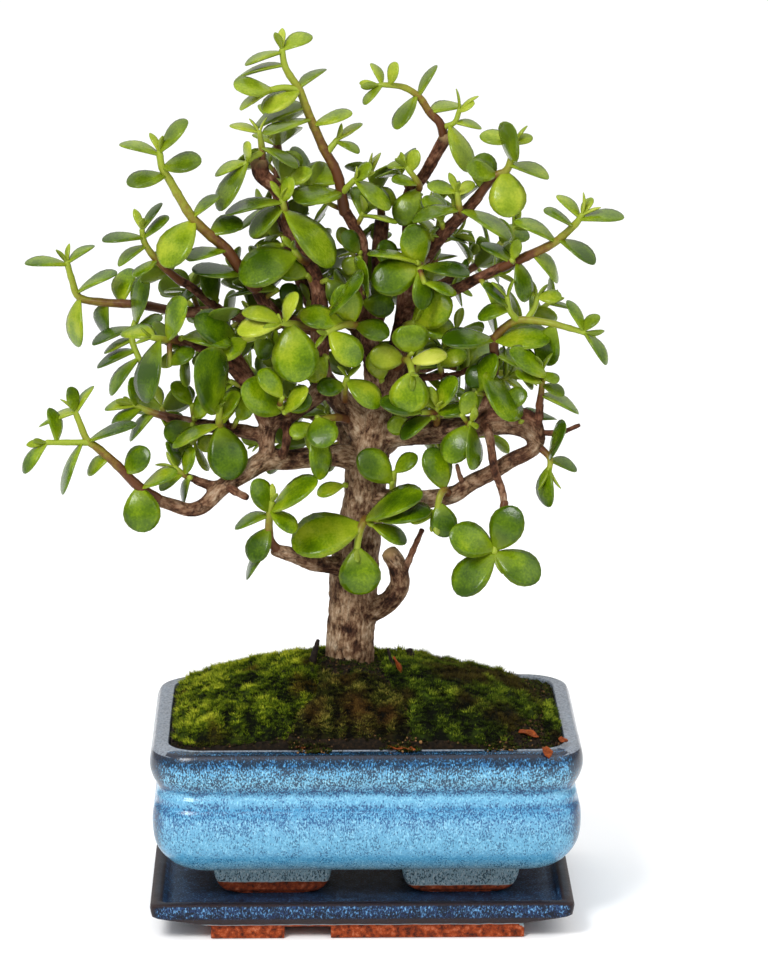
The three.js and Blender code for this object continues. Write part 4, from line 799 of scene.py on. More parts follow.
# Each limb: its points with their radii, and what else holds for it. A cut one ends in a pruned
# face, a bare or dead one bears no sprigs, and a sparse one bears them so much further apart.
limbs = [
    # trunk
    {"bare": 1, "line": [
        (-7, 82, 0, 11.5), (-7, 98, 0, 10.5), (-7, 112, 0, 9.6), (-6, 130, 0, 9.4), (-5, 150, 0, 9.5),
        (-3, 165, 0, 8.8), (-1, 178, 0, 8), (0, 192, 0, 8.4), (3, 203, 0, 8.2), (4, 210, 1, 6),
    ]},
    # right limb and the thinner strand above it
    {"bare": 1, "line": [
        (2, 202, 0, 5.4), (20, 203, -6, 5), (35, 204, -11, 4.7), (48, 206, -16, 4.4), (58, 206, -19, 4),
        (64, 204, -21, 3.6), (69, 199, -22, 3.2),
    ]},
    {"bare": 1, "line": [
        (43, 207, -15, 2.4), (49, 210, -19, 2.5), (60, 211, -23, 2.5), (67, 208, -23, 2.5),
        (69, 201, -22, 2.6),
    ]},
    # lower right limb, which bends up to meet the right limb's end
    {"bare": 1, "line": [
        (0, 176, -2, 4.6), (20, 176, -10, 3.8), (34, 178, -15, 3.5), (42, 183, -17, 3.4), (50, 187, -19, 3.2),
        (58, 192, -21, 3), (66, 196, -22, 3), (69, 201, -22, 2.8),
    ]},
    {"bare": 1, "line": [(68, 204, -23, 1.9), (69, 211, -25, 1.7), (69, 215, -26, 1.5)]},
    # grey twig that hangs in front of both right limbs
    {"dead": 1, "line": [
        (46, 207, -16, 2), (49, 201, -25, 1.9), (51, 188, -31, 1.8), (54, 180, -32, 1.7), (55, 174, -33, 1.6),
    ]},
    # dead twigs on the right
    {"dead": 1, "line": [(68, 203, -22, 1.4), (77, 203, -24, 1.1), (85, 206, -25, 0.8)]},
    {"dead": 1, "line": [(39, 181, -16, 1.3), (37, 186, -20, 1), (36, 190, -22, 0.8)]},
    # low stub on the right, cut off, with its twig
    {"cut": 1, "line": [
        (-2, 130, 0, 4.8), (8, 135, -7, 4.3), (13, 142, -11, 4), (12, 150, -13, 3.8), (9, 155, -14, 3.6),
    ]},
    {"dead": 1, "line": [(12, 145, -11, 1.7), (15, 148, -14, 1.5), (18, 155, -17, 1.3), (22, 164, -19, 1)]},
    # left leader, cut off at its top
    {"cut": 1, "line": [
        (2, 199, 0, 6.2), (-10, 215, -2, 5), (-18, 226, -4, 4.2), (-19, 240, -5, 3.6), (-19, 257, -5, 3.3),
        (-21, 265, -4, 3.2), (-25, 273, -4, 3), (-30, 282, -5, 2.9), (-33, 290, -5, 2.7), (-36, 300, -6, 2.8),
        (-42, 306, -6, 3.4), (-43, 311, -6, 3.7),
    ]},
    # top leader
    {"line": [
        (3, 204, 2, 5.4), (3, 225, 3, 4.2), (0, 245, 4, 3.2), (-3, 262, 3, 2.7), (-2, 272, 2, 2.5),
        (-2, 279, 1, 2.4), (-5, 285, 0, 2.3), (-9, 292, 0, 2.3),
    ]},
    # dark stub behind the top leader
    {"dead": 1, "line": [(1, 242, 5, 3.6), (5, 255, 10, 3.5), (5, 275, 12, 3.3), (6, 289, 13, 3)]},
    # leader at the back on the left
    {"line": [
        (-16, 238, -1, 3.4), (-21, 252, 11, 3.2), (-30, 274, 17, 2.8), (-35, 295, 18, 2.4), (-35, 314, 17, 2),
    ]},
    # right leader, cut off at its top
    {"sparse": 1.7, "cut": 1, "line": [
        (3, 206, 3, 5.2), (10, 225, 7, 4.4), (14, 245, 10, 3.8), (16, 262, 11, 3.4), (17, 285, 11, 3),
        (17, 298, 10, 2.7), (23, 306, 10, 2.5), (28, 315, 9, 2.5), (32, 322, 8, 2.9),
    ]},
    # upper right branches
    {"sparse": 1.7, "line": [
        (16, 258, 11, 3.2), (24, 274, 2, 3), (31, 283, -5, 2.7), (38, 290, -9, 2.5), (45, 298, -12, 2.2),
    ]},
    {"sparse": 1.7, "line": [
        (15, 252, 10, 2.8), (24, 256, 2, 2.6), (35, 260, -6, 2.4), (45, 265, -13, 2.2), (55, 270, -18, 2),
    ]},
    # twigs that bear the middle shoots on the right
    {"line": [(44, 205, -14, 3), (48, 214, -13, 2.6), (50, 222, -12, 2.3)]},
    {"line": [(11, 224, 7, 1.8), (22, 225, 3, 1.6), (35, 226, 0, 1.3), (42, 229, -1, 1)]},
    # middle left limb with its side twig and stub
    {"line": [
        (0, 192, 0, 5.2), (-15, 194, -6, 4.4), (-30, 192, -11, 4), (-40, 192, -15, 4.4), (-50, 186, -19, 3.6),
        (-58, 181, -22, 3.3), (-65, 174, -25, 3), (-71, 172, -27, 2.8), (-78, 174, -28, 2.6),
        (-84, 176, -29, 2.3),
    ]},
    {"dead": 1, "line": [(-57, 182, -22, 1.9), (-52, 179, -27, 1.6), (-48, 177, -30, 1.3)]},
    {"line": [(-58, 181, -22, 2.3), (-63, 182, -21, 2), (-69, 184, -19, 1.7)]},
    # limb that comes down from the left leader and joins the middle left limb, and its branches
    {"line": [
        (-16, 223, -4, 4.2), (-24, 215, -8, 3.7), (-31, 210, -11, 3.4), (-38, 207, -13, 3.4),
        (-40, 200, -15, 3.2), (-40, 192, -15, 3),
    ]},
    {"line": [(-33, 209, -11, 2), (-32, 203, -16, 1.8), (-33, 196, -17, 1.8), (-36, 192, -14, 2)]},
    {"line": [(-39, 204, -14, 3.2), (-43, 213, -14, 3), (-46, 222, -13, 2.8), (-53, 235, -12, 2.3)]},
    {"line": [(-39, 201, -14, 3), (-52, 204, -11, 2.7), (-66, 206, -8, 2.5), (-80, 209, -5, 2.1)]},
    # low left branch
    {"line": [
        (-5, 148, 0, 4.2), (-14, 150, -8, 3.6), (-22, 151, -14, 3.3), (-30, 154, -19, 3),
        (-37, 156, -23, 2.7),
    ]},
    # upper left branches
    {"line": [
        (-17, 243, -4, 3.4), (-28, 247, 4, 3), (-40, 248, 9, 2.8), (-60, 251, 13, 2.5), (-76, 251, 15, 2.2),
    ]},
    {"line": [(-45, 219, -13, 2.7), (-54, 229, -15, 2.5), (-64, 236, -17, 2.3), (-76, 240, -18, 2)]},
    {"line": [(-58, 251, 13, 2.2), (-64, 256, 7, 2), (-70, 261, 2, 1.9), (-75, 264, -1, 1.7)]},
    {"line": [(-35, 248, 7, 2.9), (-41, 255, 1, 2.7), (-46, 263, -5, 2.5)]},
    # limbs towards the back
    {"line": [(-1, 194, 3, 4.8), (-11, 204, 24, 3.8), (-24, 212, 44, 2.6)]},
    {"line": [(4, 196, 3, 4.8), (16, 205, 24, 3.8), (30, 212, 44, 2.6)]},
    {"line": [(2, 232, 4, 3.8), (-5, 246, 22, 3), (-14, 256, 38, 2.2)]},
    {"line": [(15, 254, 11, 3.2), (26, 261, 26, 2.6), (37, 266, 40, 2)]},
    {"line": [(-18, 232, -4, 3.4), (-33, 236, 18, 2.8), (-48, 240, 34, 2.1)]},
    {"line": [(9, 226, 7, 3.4), (27, 231, 26, 2.8), (44, 238, 40, 2.1)]},
]

bark = {
    "step": 1.6,  # between the circles that make a limb
    "voxel": 0.8,  # the limbs are fused at this fineness
    "ridge": 0.065,  # height of the bark's ridges as a part of the limb's radius
    "deepest": 0.5,
    "swell": 1.3,  # how much higher than the ridges the coarse swelling is
    "regain": 0.06,  # what the evening out of the fused mesh takes off
    "slim": 1.95,  # limbs no thicker than this are left round
    "cutReach": (2.6, 4.2),  # a pruned face fades to bark between these distances from its middle
}


# A limb's points and radii, and its path with the radii and lengths along it.
def limbLine(limb):
    line = np.array(limb["line"], float)
    return place(line[:, :3]), line[:, 3]


# A limb's even path, its radii and how far along each spot lies.
def limbPath(limb):
    path, radii, part, length = evenPath(*limbLine(limb), bark["step"])
    return path, radii, np.linspace(0, length, len(part))


# How far each point lies from the nearest limb's middle line, and where: across, aside and along
# in that limb's own frame, with its radius and its number.
def nearestLimb(points):
    rows = []
    for number, limb in enumerate(limbs):
        path, radii, lengths = limbPath(limb)
        rows.append([path, *framesAlong(path), radii, lengths, np.full(len(path), number)])
    middles, alongs, normals, sides, radii, lengths, owners = (np.concatenate(each) for each in zip(*rows))
    nearest = np.concatenate([
        np.argmin(np.linalg.norm(chunk[:, None] - middles[None], axis=2) - radii[None], axis=1)
        for chunk in np.array_split(points, len(points) // 4000 + 1)
    ])
    offset = points - middles[nearest]
    across, aside, along = (np.sum(offset * axes[nearest], axis=1) for axes in (normals, sides, alongs))
    return np.stack([across, aside, lengths[nearest] + along], axis=1), radii[nearest], owners[nearest]


# Evens out a mesh: every point moves part of the way to the middle of its neighbours.
def relaxed(points, quads, rounds, share):
    a, b = np.vstack([np.stack([quads[:, k], quads[:, (k + 1) % 4]], axis=1) for k in range(4)]).T
    degree = np.bincount(a, minlength=len(points)) + np.bincount(b, minlength=len(points))
    for turn in range(rounds):
        total = [np.bincount(a, row[b], len(row)) + np.bincount(b, row[a], len(row)) for row in points.T]
        points = points + share * (np.stack(total, axis=1) / degree[:, None] - points)
    return points


# The direction outwards at each point: the cross products of its faces' diagonals, added up.
def outwardAt(points, quads):
    facing = np.cross(points[quads[:, 2]] - points[quads[:, 0]], points[quads[:, 3]] - points[quads[:, 1]])
    normal = [sum(np.bincount(quads[:, k], row, len(points)) for k in range(4)) for row in facing.T]
    normal = np.stack(normal, axis=1)
    return normal / np.linalg.norm(normal, axis=1, keepdims=True)


# The bark's relief in a limb's own frame: long ridges and cracks that run along the limb, rings
# that cross it, and a coarse swelling.
def barkRelief(local):
    ridges = 1 - 2 * np.abs(softNoise(local * [1, 1, 0.32] / 1.8, 51)) ** 0.7
    fine = 1 - 2 * np.abs(softNoise(local * [1, 1, 0.5], 52)) ** 0.8
    rings = softNoise(local * [0.12, 0.12, 0.6], 53)
    swell = layeredNoise(local * [1, 1, 0.7], 5.5, seed=54)
    return 0.45 * ridges + 0.3 * fine + 0.35 * rings, swell


# The tree's wood: thick limbs fused into one skin with the bark's relief, and slim round twigs.
def buildWood():
    thick, slim = [], []
    for limb in limbs:
        path, radii, lengths = limbPath(limb)
        if max(limbLine(limb)[1]) > bark["slim"]:
            thick.append(loft(roundBar(path, radii, 20)))
        else:
            slim.append(loft(roundBar(path, radii * (1 + 0.1 * np.sin(lengths * 1.3)), 9)))
    raw = makePiece("wood_raw", *together(thick))
    remesh = raw.modifiers.new("fuse", "REMESH")
    remesh.mode = "VOXEL"
    remesh.voxel_size = bark["voxel"] * millimetre
    points, (quads,) = workedOut(raw)
    points = relaxed(points, quads, 5, 0.5)
    local, radius, owner = nearestLimb(points)
    relief, swell = barkRelief(local)
    depth = np.minimum(bark["ridge"] * radius, bark["deepest"])
    rise = relief * depth + swell * depth * bark["swell"] + bark["regain"]
    points = points + outwardAt(points, quads) * rise[:, None]
    twigPoints, twigFaces = together(slim)
    twigLocal, twigRadius, twigOwner = nearestLimb(twigPoints)
    points, faces = together([(points, [quads]), (twigPoints, twigFaces)])
    ends = np.array([limbLine(limb)[0][-1] for limb in limbs])
    cut = np.array([limb.get("cut", 0) for limb in limbs])
    owner = np.concatenate([owner, twigOwner])
    away = np.linalg.norm(points - ends[owner], axis=1)
    values = {
        "grain": np.vstack([local, twigLocal]),
        "relief": np.concatenate([relief, 0 * twigRadius]),
        "girth": np.concatenate([radius, twigRadius]),
        "cut": cut[owner] * (1 - smoothStep(away, *bark["cutReach"])),
    }
    return makePiece("old_wood", points, faces, values)


# Leafy shoots

# Each shoot: its stem's radii at foot and tip, its stem and twigs, and its leaves. A leaf is where
# it begins and ends as seen from the front, how wide it looks, how much further back its tip is
# and, where the last number is, how young it is.
shootTable = {
    "crown_left": ((2.2, 1.2), [
        [(-9, 291, 0), (-11, 303, -1), (-13, 309, -1), (-17, 316, -2), (-21, 325, -3), (-24, 332, -3),
        (-27, 340, -3), (-31, 346, -4), (-33, 350, -4), (-34, 356, -4)], [(-27, 340, -3), (-33, 341, -5),
        (-39, 340, -7)], [(-10, 299, -1), (-5, 304, -5)], [(-16, 315, -2), (-12, 320, -1)],
    ], [
        (-34, 356, -22, 362, 7, 4), (-35, 355, -49, 350, 4, -2), (-33, 350, -52, 345, 4, 6),
        (-27, 341, -17, 349, 5, 8), (-27, 340, -41, 331, 9, -10), (-38, 340, -53, 341, 9, -4),
        (-38, 339, -51, 332, 4, -6), (-21, 326, -6, 331, 6, -4), (-23, 328, -41, 322, 6, -8),
        (-25, 333, -46, 326, 9, 14), (-12, 320, -2, 327, 4, 3), (-12, 319, -3, 315, 4, -4),
        (-6, 304, 2, 310, 6, -4), (-5, 304, 9, 292, 8, -6), (-11, 303, -28, 307, 12, 10),
        (-11, 299, -28, 296, 10, -8),
    ]),
    "left_cut_top": ((1.6, 1.1), [
        [(-42, 309, -6), (-42, 316, -7), (-43, 323, -8)], [(-42, 315, -7), (-46, 313, -9), (-49, 310, -10)],
    ], [
        (-43, 323, -55, 326, 4, 3), (-42, 321, -24, 329, 6, -6), (-42, 317, -28, 309, 5, -10),
        (-48, 311, -61, 306, 5, 2), (-48, 311, -47, 319, 4, -5), (-47, 311, -60, 292, 9, -6),
    ]),
    "left_leader": ((1.6, 1.2), [[(-33, 289, -6), (-33, 292, -12), (-34, 296, -14)]], [
        (-34, 295, -57, 290, 6, -4), (-33, 292, -14, 269, 13, -8), (-34, 296, -29, 304, 7, -4),
        (-33, 293, -47, 282, 9, 4),
    ]),
    "left_leader_low": ((1.7, 1.3), [[(-24, 271, -5), (-27, 273, -12), (-29, 276, -14)]], [
        (-28, 274, -51, 264, 16, -6), (-28, 275, -14, 284, 9, 2),
    ]),
    "crown_right": ((1.9, 1), [
        [(31, 321, 8), (29, 327, 6), (25, 331, 5), (21, 337, 5), (15, 341, 5), (8, 342, 4), (5, 342, 4)],
        [(30, 325, 7), (35, 327, 5), (37, 332, 4)],
    ], [
        (6, 342, 2, 351, 4, 4), (9, 342, 12, 351, 5, -3), (6, 342, -1, 334, 4, -5), (21, 338, 28, 350, 4, 4),
        (20, 338, 12, 324, 7, -8), (25, 331, 38, 334, 6, 9), (37, 331, 43, 335, 4, -3),
        (35, 327, 46, 325, 4, 2), (33, 326, 40, 307, 9, -9),
    ]),
    "crown_inner": ((1.6, 1.1), [[(18, 297, 9), (21, 301, 3), (19, 305, 1), (16, 309, 1)]], [
        (20, 302, 10, 304, 5, -5), (17, 307, 20, 316, 6, -2), (16, 309, 8, 310, 4, 3),
        (20, 301, 13, 286, 12, -5),
    ]),
    "right_top": ((1.9, 1.2), [
        [(44, 297, -12), (48, 302, -13), (52, 306, -13), (56, 308, -14), (58, 314, -15), (59, 319, -15)],
    ], [
        (58, 319, 45, 322, 7, 2), (46, 300, 47, 315, 11, 5), (59, 318, 66, 322, 5, 3),
        (57, 310, 73, 305, 6, -3), (55, 308, 57, 289, 15, -8), (57, 312, 58, 325, 8, -10),
        (52, 306, 40, 309, 9, -6),
    ]),
    "right_top_twig": ((1.5, 1.1), [[(38, 290, -10), (37, 293, -16), (36, 299, -18)]], [
        (37, 292, 58, 281, 7, -6), (37, 292, 18, 288, 6, -4), (36, 299, 24, 302, 6, 1),
        (36, 298, 43, 303, 5, -4),
    ]),
    "centre_bright": ((1.8, 1.3), [[(24, 273, 2), (22, 271, -6), (21, 268, -12)]], [
        (21, 270, 17, 286, 13, -6), (21, 269, 2, 262, 15, -5), (22, 269, 41, 266, 7, -5),
        (21, 268, 22, 252, 9, -4),
    ]),
    "right_high": ((2, 1.2), [
        [(54, 269, -18), (65, 274, -24), (75, 279, -28), (83, 286, -31), (86, 290, -32)],
    ], [
        (85, 288, 103, 289, 6, -3), (85, 289, 76, 298, 5, 5), (86, 290, 90, 297, 4, 3),
        (82, 286, 71, 292, 4, -5), (75, 280, 59, 288, 6, 4), (77, 280, 91, 270, 7, -6),
        (58, 271, 46, 279, 6, 8), (60, 272, 63, 255, 8, -4), (66, 275, 77, 264, 7, 6),
    ]),
    "left_far": ((2, 1.2), [
        [(-75, 251, 15), (-90, 254, 17), (-105, 255, 18), (-115, 257, 19), (-118, 264, 19), (-120, 271, 19)],
        [(-90, 254, 17), (-93, 246, 12), (-94, 240, 9), (-91, 232, 6)],
    ], [
        (-115, 257, -116, 237, 8, -3), (-116, 259, -100, 267, 5, -4), (-120, 270, -137, 271, 5, -2),
        (-119, 271, -109, 278, 4, 4), (-94, 247, -87, 265, 9, -8), (-98, 254, -96, 269, 10, 10),
        (-93, 245, -110, 238, 5, -4), (-94, 240, -105, 235, 4, 5), (-92, 236, -108, 229, 5, -3),
        (-93, 243, -82, 249, 5, -5), (-91, 233, -103, 218, 6, -4), (-80, 252, -68, 259, 5, -9),
        (-104, 255, -106, 243, 8, 6),
    ]),
    "left_cluster": ((1.7, 1.1), [
        [(-74, 263, 0), (-80, 268, -4), (-85, 273, -7), (-89, 279, -9), (-90, 284, -10)],
    ], [
        (-89, 281, -106, 280, 5, -5), (-90, 284, -82, 295, 4, 3), (-89, 281, -79, 289, 5, -3),
        (-88, 278, -100, 270, 5, -2), (-84, 272, -93, 265, 5, -8), (-81, 269, -70, 279, 5, -4),
    ]),
    "left_hang": ((1.8, 1.2), [[(-75, 240, -18), (-80, 240, -21), (-86, 241, -24)]], [
        (-83, 240, -89, 215, 11, -10), (-80, 240, -72, 256, 10, -9), (-85, 241, -97, 244, 8, 12),
    ]),
    "left_high": ((2.5, 1.3), [
        [(-45, 261, -4), (-51, 269, -9), (-57, 277, -13), (-64, 283, -16), (-70, 289, -19), (-75, 297, -21),
        (-79, 304, -22), (-82, 309, -23), (-83, 315, -23)],
    ], [
        (-82, 309, -66, 311, 9, -5), (-80, 306, -96, 302, 8, -6), (-83, 315, -72, 328, 7, -3),
        (-83, 314, -99, 319, 5, 2), (-70, 289, -59, 298, 5, 4), (-69, 288, -81, 269, 14, -8),
        (-56, 276, -72, 272, 6, -4), (-49, 266, -70, 267, 7, -8), (-63, 282, -50, 288, 9, 6),
    ]),
    "centre_left": ((1.9, 1.3), [[(-19, 245, -5), (-27, 246, -17), (-34, 247, -27)]], [
        (-34, 246, -52, 243, 9, -3, 0.9), (-34, 247, -50, 252, 7, 8, 0.7), (-33, 247, -28, 259, 6, -2, 0.9),
        (-31, 246, -27, 223, 19, -5),
    ]),
    "centre_front": ((1.9, 1.2), [[(0, 247, 3), (-4, 246, -9), (-9, 246, -18), (-16, 243, -24)]], [
        (-9, 246, -27, 250, 10, -2), (-6, 246, -10, 262, 13, -4), (-5, 246, 9, 242, 9, -3),
        (-15, 243, -3, 230, 12, -4),
    ]),
    "centre_yellow": ((1.8, 1.3), [[(11, 228, 7), (15, 232, -6), (17, 231, -15), (18, 227, -21)]], [
        (15, 232, 1, 234, 11, -2, 1), (17, 231, 32, 234, 7, -4, 1), (18, 227, 16, 211, 16, -4),
    ]),
    "left_inner": ((1.8, 1.3), [[(-52, 234, -12), (-51, 239, -15), (-45, 241, -18)]], [
        (-48, 240, -63, 233, 11, -5), (-52, 238, -69, 248, 13, -2), (-45, 241, -38, 233, 9, 5),
    ]),
    "left_pair": ((1.9, 1.3), [[(-57, 205, -10), (-59, 206, -18), (-59, 213, -24)]], [
        (-59, 206, -78, 197, 6, -3), (-59, 208, -51, 219, 7, -3), (-59, 206, -54, 184, 16, -5),
        (-59, 212, -68, 233, 16, -4),
    ]),
    "centre_right": ((1.8, 1.3), [[(14, 244, 10), (16, 246, 2), (19, 247, -2)]], [
        (18, 247, 34, 256, 15, -3), (19, 246, 35, 243, 10, -3),
    ]),
    "right_middle": ((2.1, 1.1), [
        [(50, 221, -12), (51, 232, -15), (51, 240, -18), (55, 245, -20), (61, 248, -22), (72, 247, -25),
        (80, 245, -27), (87, 243, -28)], [(60, 248, -22), (57, 252, -25), (56, 257, -27)], [(64, 248, -23),
        (67, 253, -20), (68, 257, -18)],
    ], [
        (51, 240, 73, 240, 11, -10), (51, 240, 30, 240, 9, -6), (51, 231, 40, 222, 10, -3),
        (51, 227, 55, 209, 14, -5), (87, 243, 80, 256, 5, 3), (87, 243, 96, 230, 5, -3),
        (75, 246, 71, 230, 11, -5), (51, 234, 68, 229, 8, 3), (68, 257, 78, 257, 6, -2),
        (68, 257, 62, 263, 5, 2), (57, 253, 46, 262, 5, -4), (57, 252, 44, 250, 7, 5),
        (86, 243, 93, 250, 5, 4),
    ]),
    "right_fork": ((1.7, 1.2), [[(28, 204, -9), (28, 209, -14), (28, 213, -17)]], [
        (28, 212, 36, 225, 8, -3), (28, 211, 39, 212, 6, -6), (28, 212, 21, 221, 8, 5),
    ]),
    "centre_low": ((1.8, 1.2), [[(-9, 214, -2), (-9, 220, -13), (-8, 225, -18)]], [
        (-8, 224, 5, 213, 10, -4), (-9, 222, -20, 220, 8, -5),
    ]),
    "left_mid": ((1.8, 1.3), [[(-31, 210, -11), (-33, 212, -19), (-35, 214, -23)]], [
        (-33, 212, -50, 221, 15, -4), (-34, 212, -22, 217, 9, -2),
    ]),
    "left_mid_low": ((1.8, 1.2), [[(-6, 208, -2), (-12, 209, -12), (-18, 208, -18), (-22, 205, -21)]], [
        (-13, 209, -23, 196, 11, -6), (-21, 205, -18, 184, 9, 1), (-21, 206, -31, 202, 7, -3),
    ]),
    "left_low": ((1.9, 1.3), [[(-36, 156, -23), (-39, 161, -26), (-39, 170, -28), (-38, 175, -29)]], [
        (-38, 171, -20, 184, 9, -4), (-39, 171, -45, 184, 9, -3), (-39, 170, -53, 165, 5, 4),
        (-39, 165, -46, 151, 10, -4), (-38, 159, -49, 145, 5, 4), (-38, 172, -29, 163, 7, -8),
    ]),
    "right_tip": ((1.4, 1), [[(69, 214, -26), (70, 222, -28), (70, 228, -29)]], [
        (70, 222, 79, 218, 5, -3), (70, 218, 85, 211, 5, 3), (70, 227, 76, 223, 5, -7),
        (70, 224, 60, 226, 6, -9),
    ]),
    "right_tip_low": ((1.5, 1.1), [[(68, 198, -22), (73, 193, -25), (73, 188, -27)]], [
        (73, 193, 80, 205, 5, -2), (73, 190, 72, 173, 7, -3), (73, 192, 84, 188, 5, 3),
    ]),
    "right_limb": ((1.7, 1.2), [[(40, 205, -13), (41, 206, -21), (42, 207, -25)]], [
        (41, 206, 32, 191, 12, -4), (42, 206, 42, 188, 7, -9),
    ]),
    "right_lower": ((1.7, 1.2), [[(33, 178, -15), (31, 180, -21), (29, 177, -24), (28, 170, -25)]], [
        (31, 180, 25, 197, 12, -4), (29, 175, 32, 161, 11, -4), (28, 171, 17, 168, 6, 2),
    ]),
    "rosette": ((1.6, 1.4), [[(55, 175, -33), (54, 168, -35), (52, 160, -37), (51, 155, -39)]], [
        (51, 156, 33, 163, 14, -3), (51, 156, 60, 173, 14, -3), (51, 155, 36, 138, 14, -5),
        (51, 155, 69, 144, 14, -5),
    ]),
    "lower_left": ((2.1, 1.1), [
        [(-83, 176, -29), (-92, 182, -31), (-100, 190, -33), (-108, 197, -34), (-112, 200, -34),
        (-115, 207, -34), (-117, 212, -34)], [(-111, 199, -34), (-120, 199, -37), (-128, 199, -39)],
    ], [
        (-128, 199, -138, 187, 6, -2), (-124, 199, -127, 213, 5, 3), (-114, 199, -122, 178, 5, -5),
        (-111, 200, -92, 206, 5, -3), (-117, 211, -119, 221, 5, -3), (-117, 211, -130, 206, 4, 3),
        (-116, 211, -110, 222, 4, 4), (-97, 187, -87, 196, 10, -4), (-91, 182, -89, 163, 15, -5),
        (-90, 181, -76, 187, 6, -6), (-103, 193, -112, 187, 6, 5),
    ]),
    "lower_left_twig": ((1.5, 1.1), [[(-68, 184, -19), (-73, 186, -20), (-77, 189, -20)]], [
        (-77, 188, -79, 199, 5, 4), (-73, 186, -69, 197, 6, -3), (-74, 186, -83, 180, 5, -4),
    ]),
    "left_shelf": ((1.8, 1.1), [[(-79, 209, -5), (-86, 211, -3), (-93, 214, -2)]], [
        (-92, 214, -105, 213, 5, 4), (-90, 213, -102, 205, 6, -4), (-85, 211, -95, 200, 5, 4),
        (-83, 210, -72, 201, 10, 8), (-92, 214, -94, 225, 6, -3),
    ]),
    "trunk": ((2, 1.4), [[(-1, 168, -4), (-1, 168, -13), (-3, 163, -17), (-4, 157, -19)]], [
        (-2, 166, -30, 157, 18, -4), (-1, 168, 22, 178, 10, -3), (-4, 157, -2, 138, 17, -4),
        (-2, 165, 21, 166, 9, 3),
    ]),
}
# Shoots at the back, by the rule alone: how many pairs of leaves, and the stem.
backTable = {
    "back_left_low": (4, [(-23, 211, 43), (-36, 219, 56), (-47, 229, 66)]),
    "back_left_shelf": (3, [(-12, 204, 25), (-27, 200, 37), (-42, 200, 46)]),
    "back_right_low": (4, [(29, 211, 43), (42, 217, 56), (53, 227, 64)]),
    "back_right_shelf": (3, [(16, 205, 25), (33, 202, 34), (50, 202, 42)]),
    "back_crown_left": (4, [(-13, 255, 37), (-20, 268, 48), (-23, 283, 54)]),
    "back_crown": (4, [(-4, 245, 22), (1, 262, 34), (4, 279, 41)]),
    "back_right_high": (4, [(36, 265, 39), (48, 273, 46), (59, 285, 48)]),
    "back_right_crown": (4, [(25, 261, 25), (28, 279, 31), (30, 297, 33)]),
    "back_left_high": (4, [(-47, 240, 33), (-62, 247, 42), (-75, 258, 46)]),
    "back_left_crown": (4, [(-32, 236, 17), (-44, 251, 25), (-53, 268, 30)]),
    "back_right": (4, [(43, 238, 39), (58, 244, 46), (73, 255, 48)]),
    "back_right_mid": (3, [(27, 231, 25), (43, 228, 18), (62, 226, 14)]),
    "back_top": (3, [(-35, 312, 17), (-36, 322, 20), (-34, 334, 22)]),
    "back_stub": (3, [(6, 286, 13), (5, 296, 17), (1, 306, 20)]),
}

# Leaves that the larger pieces leave out: where the stalk leaves its limb or stem, where the
# blade begins and where it ends, and how wide it looks.
sprigTable = [
    (-42, 256, 0, -36, 260, -55, 258, 5), (-2, 275, 2, -3, 275, -10, 283, 8),
    (-2, 273, 2, -3, 273, -9, 267, 8), (-2, 255, 3, -2, 255, 11, 253, 10),
    (-36, 237, 21, -35, 242, -57, 235, 10), (-33, 212, -19, -33, 211, -24, 221, 7),
    (16, 232, -10, 18, 235, 17, 246, 15), (28, 211, -16, 22, 211, 5, 215, 8),
    (28, 209, -14, 26, 209, 13, 201, 7), (22, 270, -8, 20, 271, 0, 275, 4), (-2, 259, 3, 0, 259, 0, 270, 6),
    (28, 279, -2, 25, 282, 39, 280, 6), (21, 268, -12, 23, 263, 36, 258, 5),
    (59, 271, -21, 58, 272, 61, 280, 5), (70, 224, -28, 72, 225, 57, 236, 9),
    (49, 218, -13, 44, 219, 52, 234, 9), (41, 206, -21, 38, 210, 43, 219, 8),
    (30, 226, 1, 29, 230, 40, 235, 8), (10, 176, -6, 10, 183, -3, 195, 13),
    (10, 176, -6, 11, 187, 20, 194, 7), (-1, 168, -13, 5, 168, 25, 170, 8),
    (-1, 168, -13, 2, 166, 16, 159, 7), (-18, 208, -18, -20, 209, -16, 197, 13),
    (-1, 181, 0, -9, 182, -20, 178, 6), (-69, 207, -7, -70, 214, -78, 223, 7),
    (-69, 207, -7, -69, 209, -63, 217, 8), (-69, 207, -7, -70, 206, -81, 201, 10),
    (-59, 205, -10, -59, 205, -53, 213, 7), (-59, 205, -10, -61, 202, -67, 196, 7),
    (-70, 185, -19, -71, 185, -74, 175, 4), (-35, 214, -23, -34, 217, -43, 228, 9),
    (-79, 240, -20, -79, 230, -69, 236, 7), (-75, 240, -18, -74, 241, -54, 239, 8),
    (-21, 262, -4, -16, 264, -8, 254, 10), (-21, 262, -4, -24, 266, -36, 270, 10),
    (16, 262, 11, 10, 268, 6, 280, 9), (-19, 250, -5, -14, 252, -2, 262, 9),
    (-62, 251, 13, -60, 256, -66, 268, 9), (24, 255, 2, 28, 250, 26, 240, 9),
    (45, 265, -13, 47, 262, 55, 252, 9), (52, 211, -20, 54, 214, 64, 219, 8),
    (60, 205, -20, 62, 208, 74, 210, 7), (-28, 247, 4, -26, 252, -34, 262, 9),
    (31, 283, -5, 30, 287, 24, 298, 8), (-30, 279, -5, -34, 278, -44, 274, 8),
    (17, 292, 11, 12, 294, 4, 300, 7), (-36, 300, -6, -32, 302, -22, 308, 7),
    (-19, 235, -5, -16, 233, -24, 224, 10), (3, 222, 3, 6, 224, 3, 236, 10),
    (-54, 204, -11, -52, 208, -46, 216, 8), (20, 203, -6, 18, 207, 8, 205, 8),
]

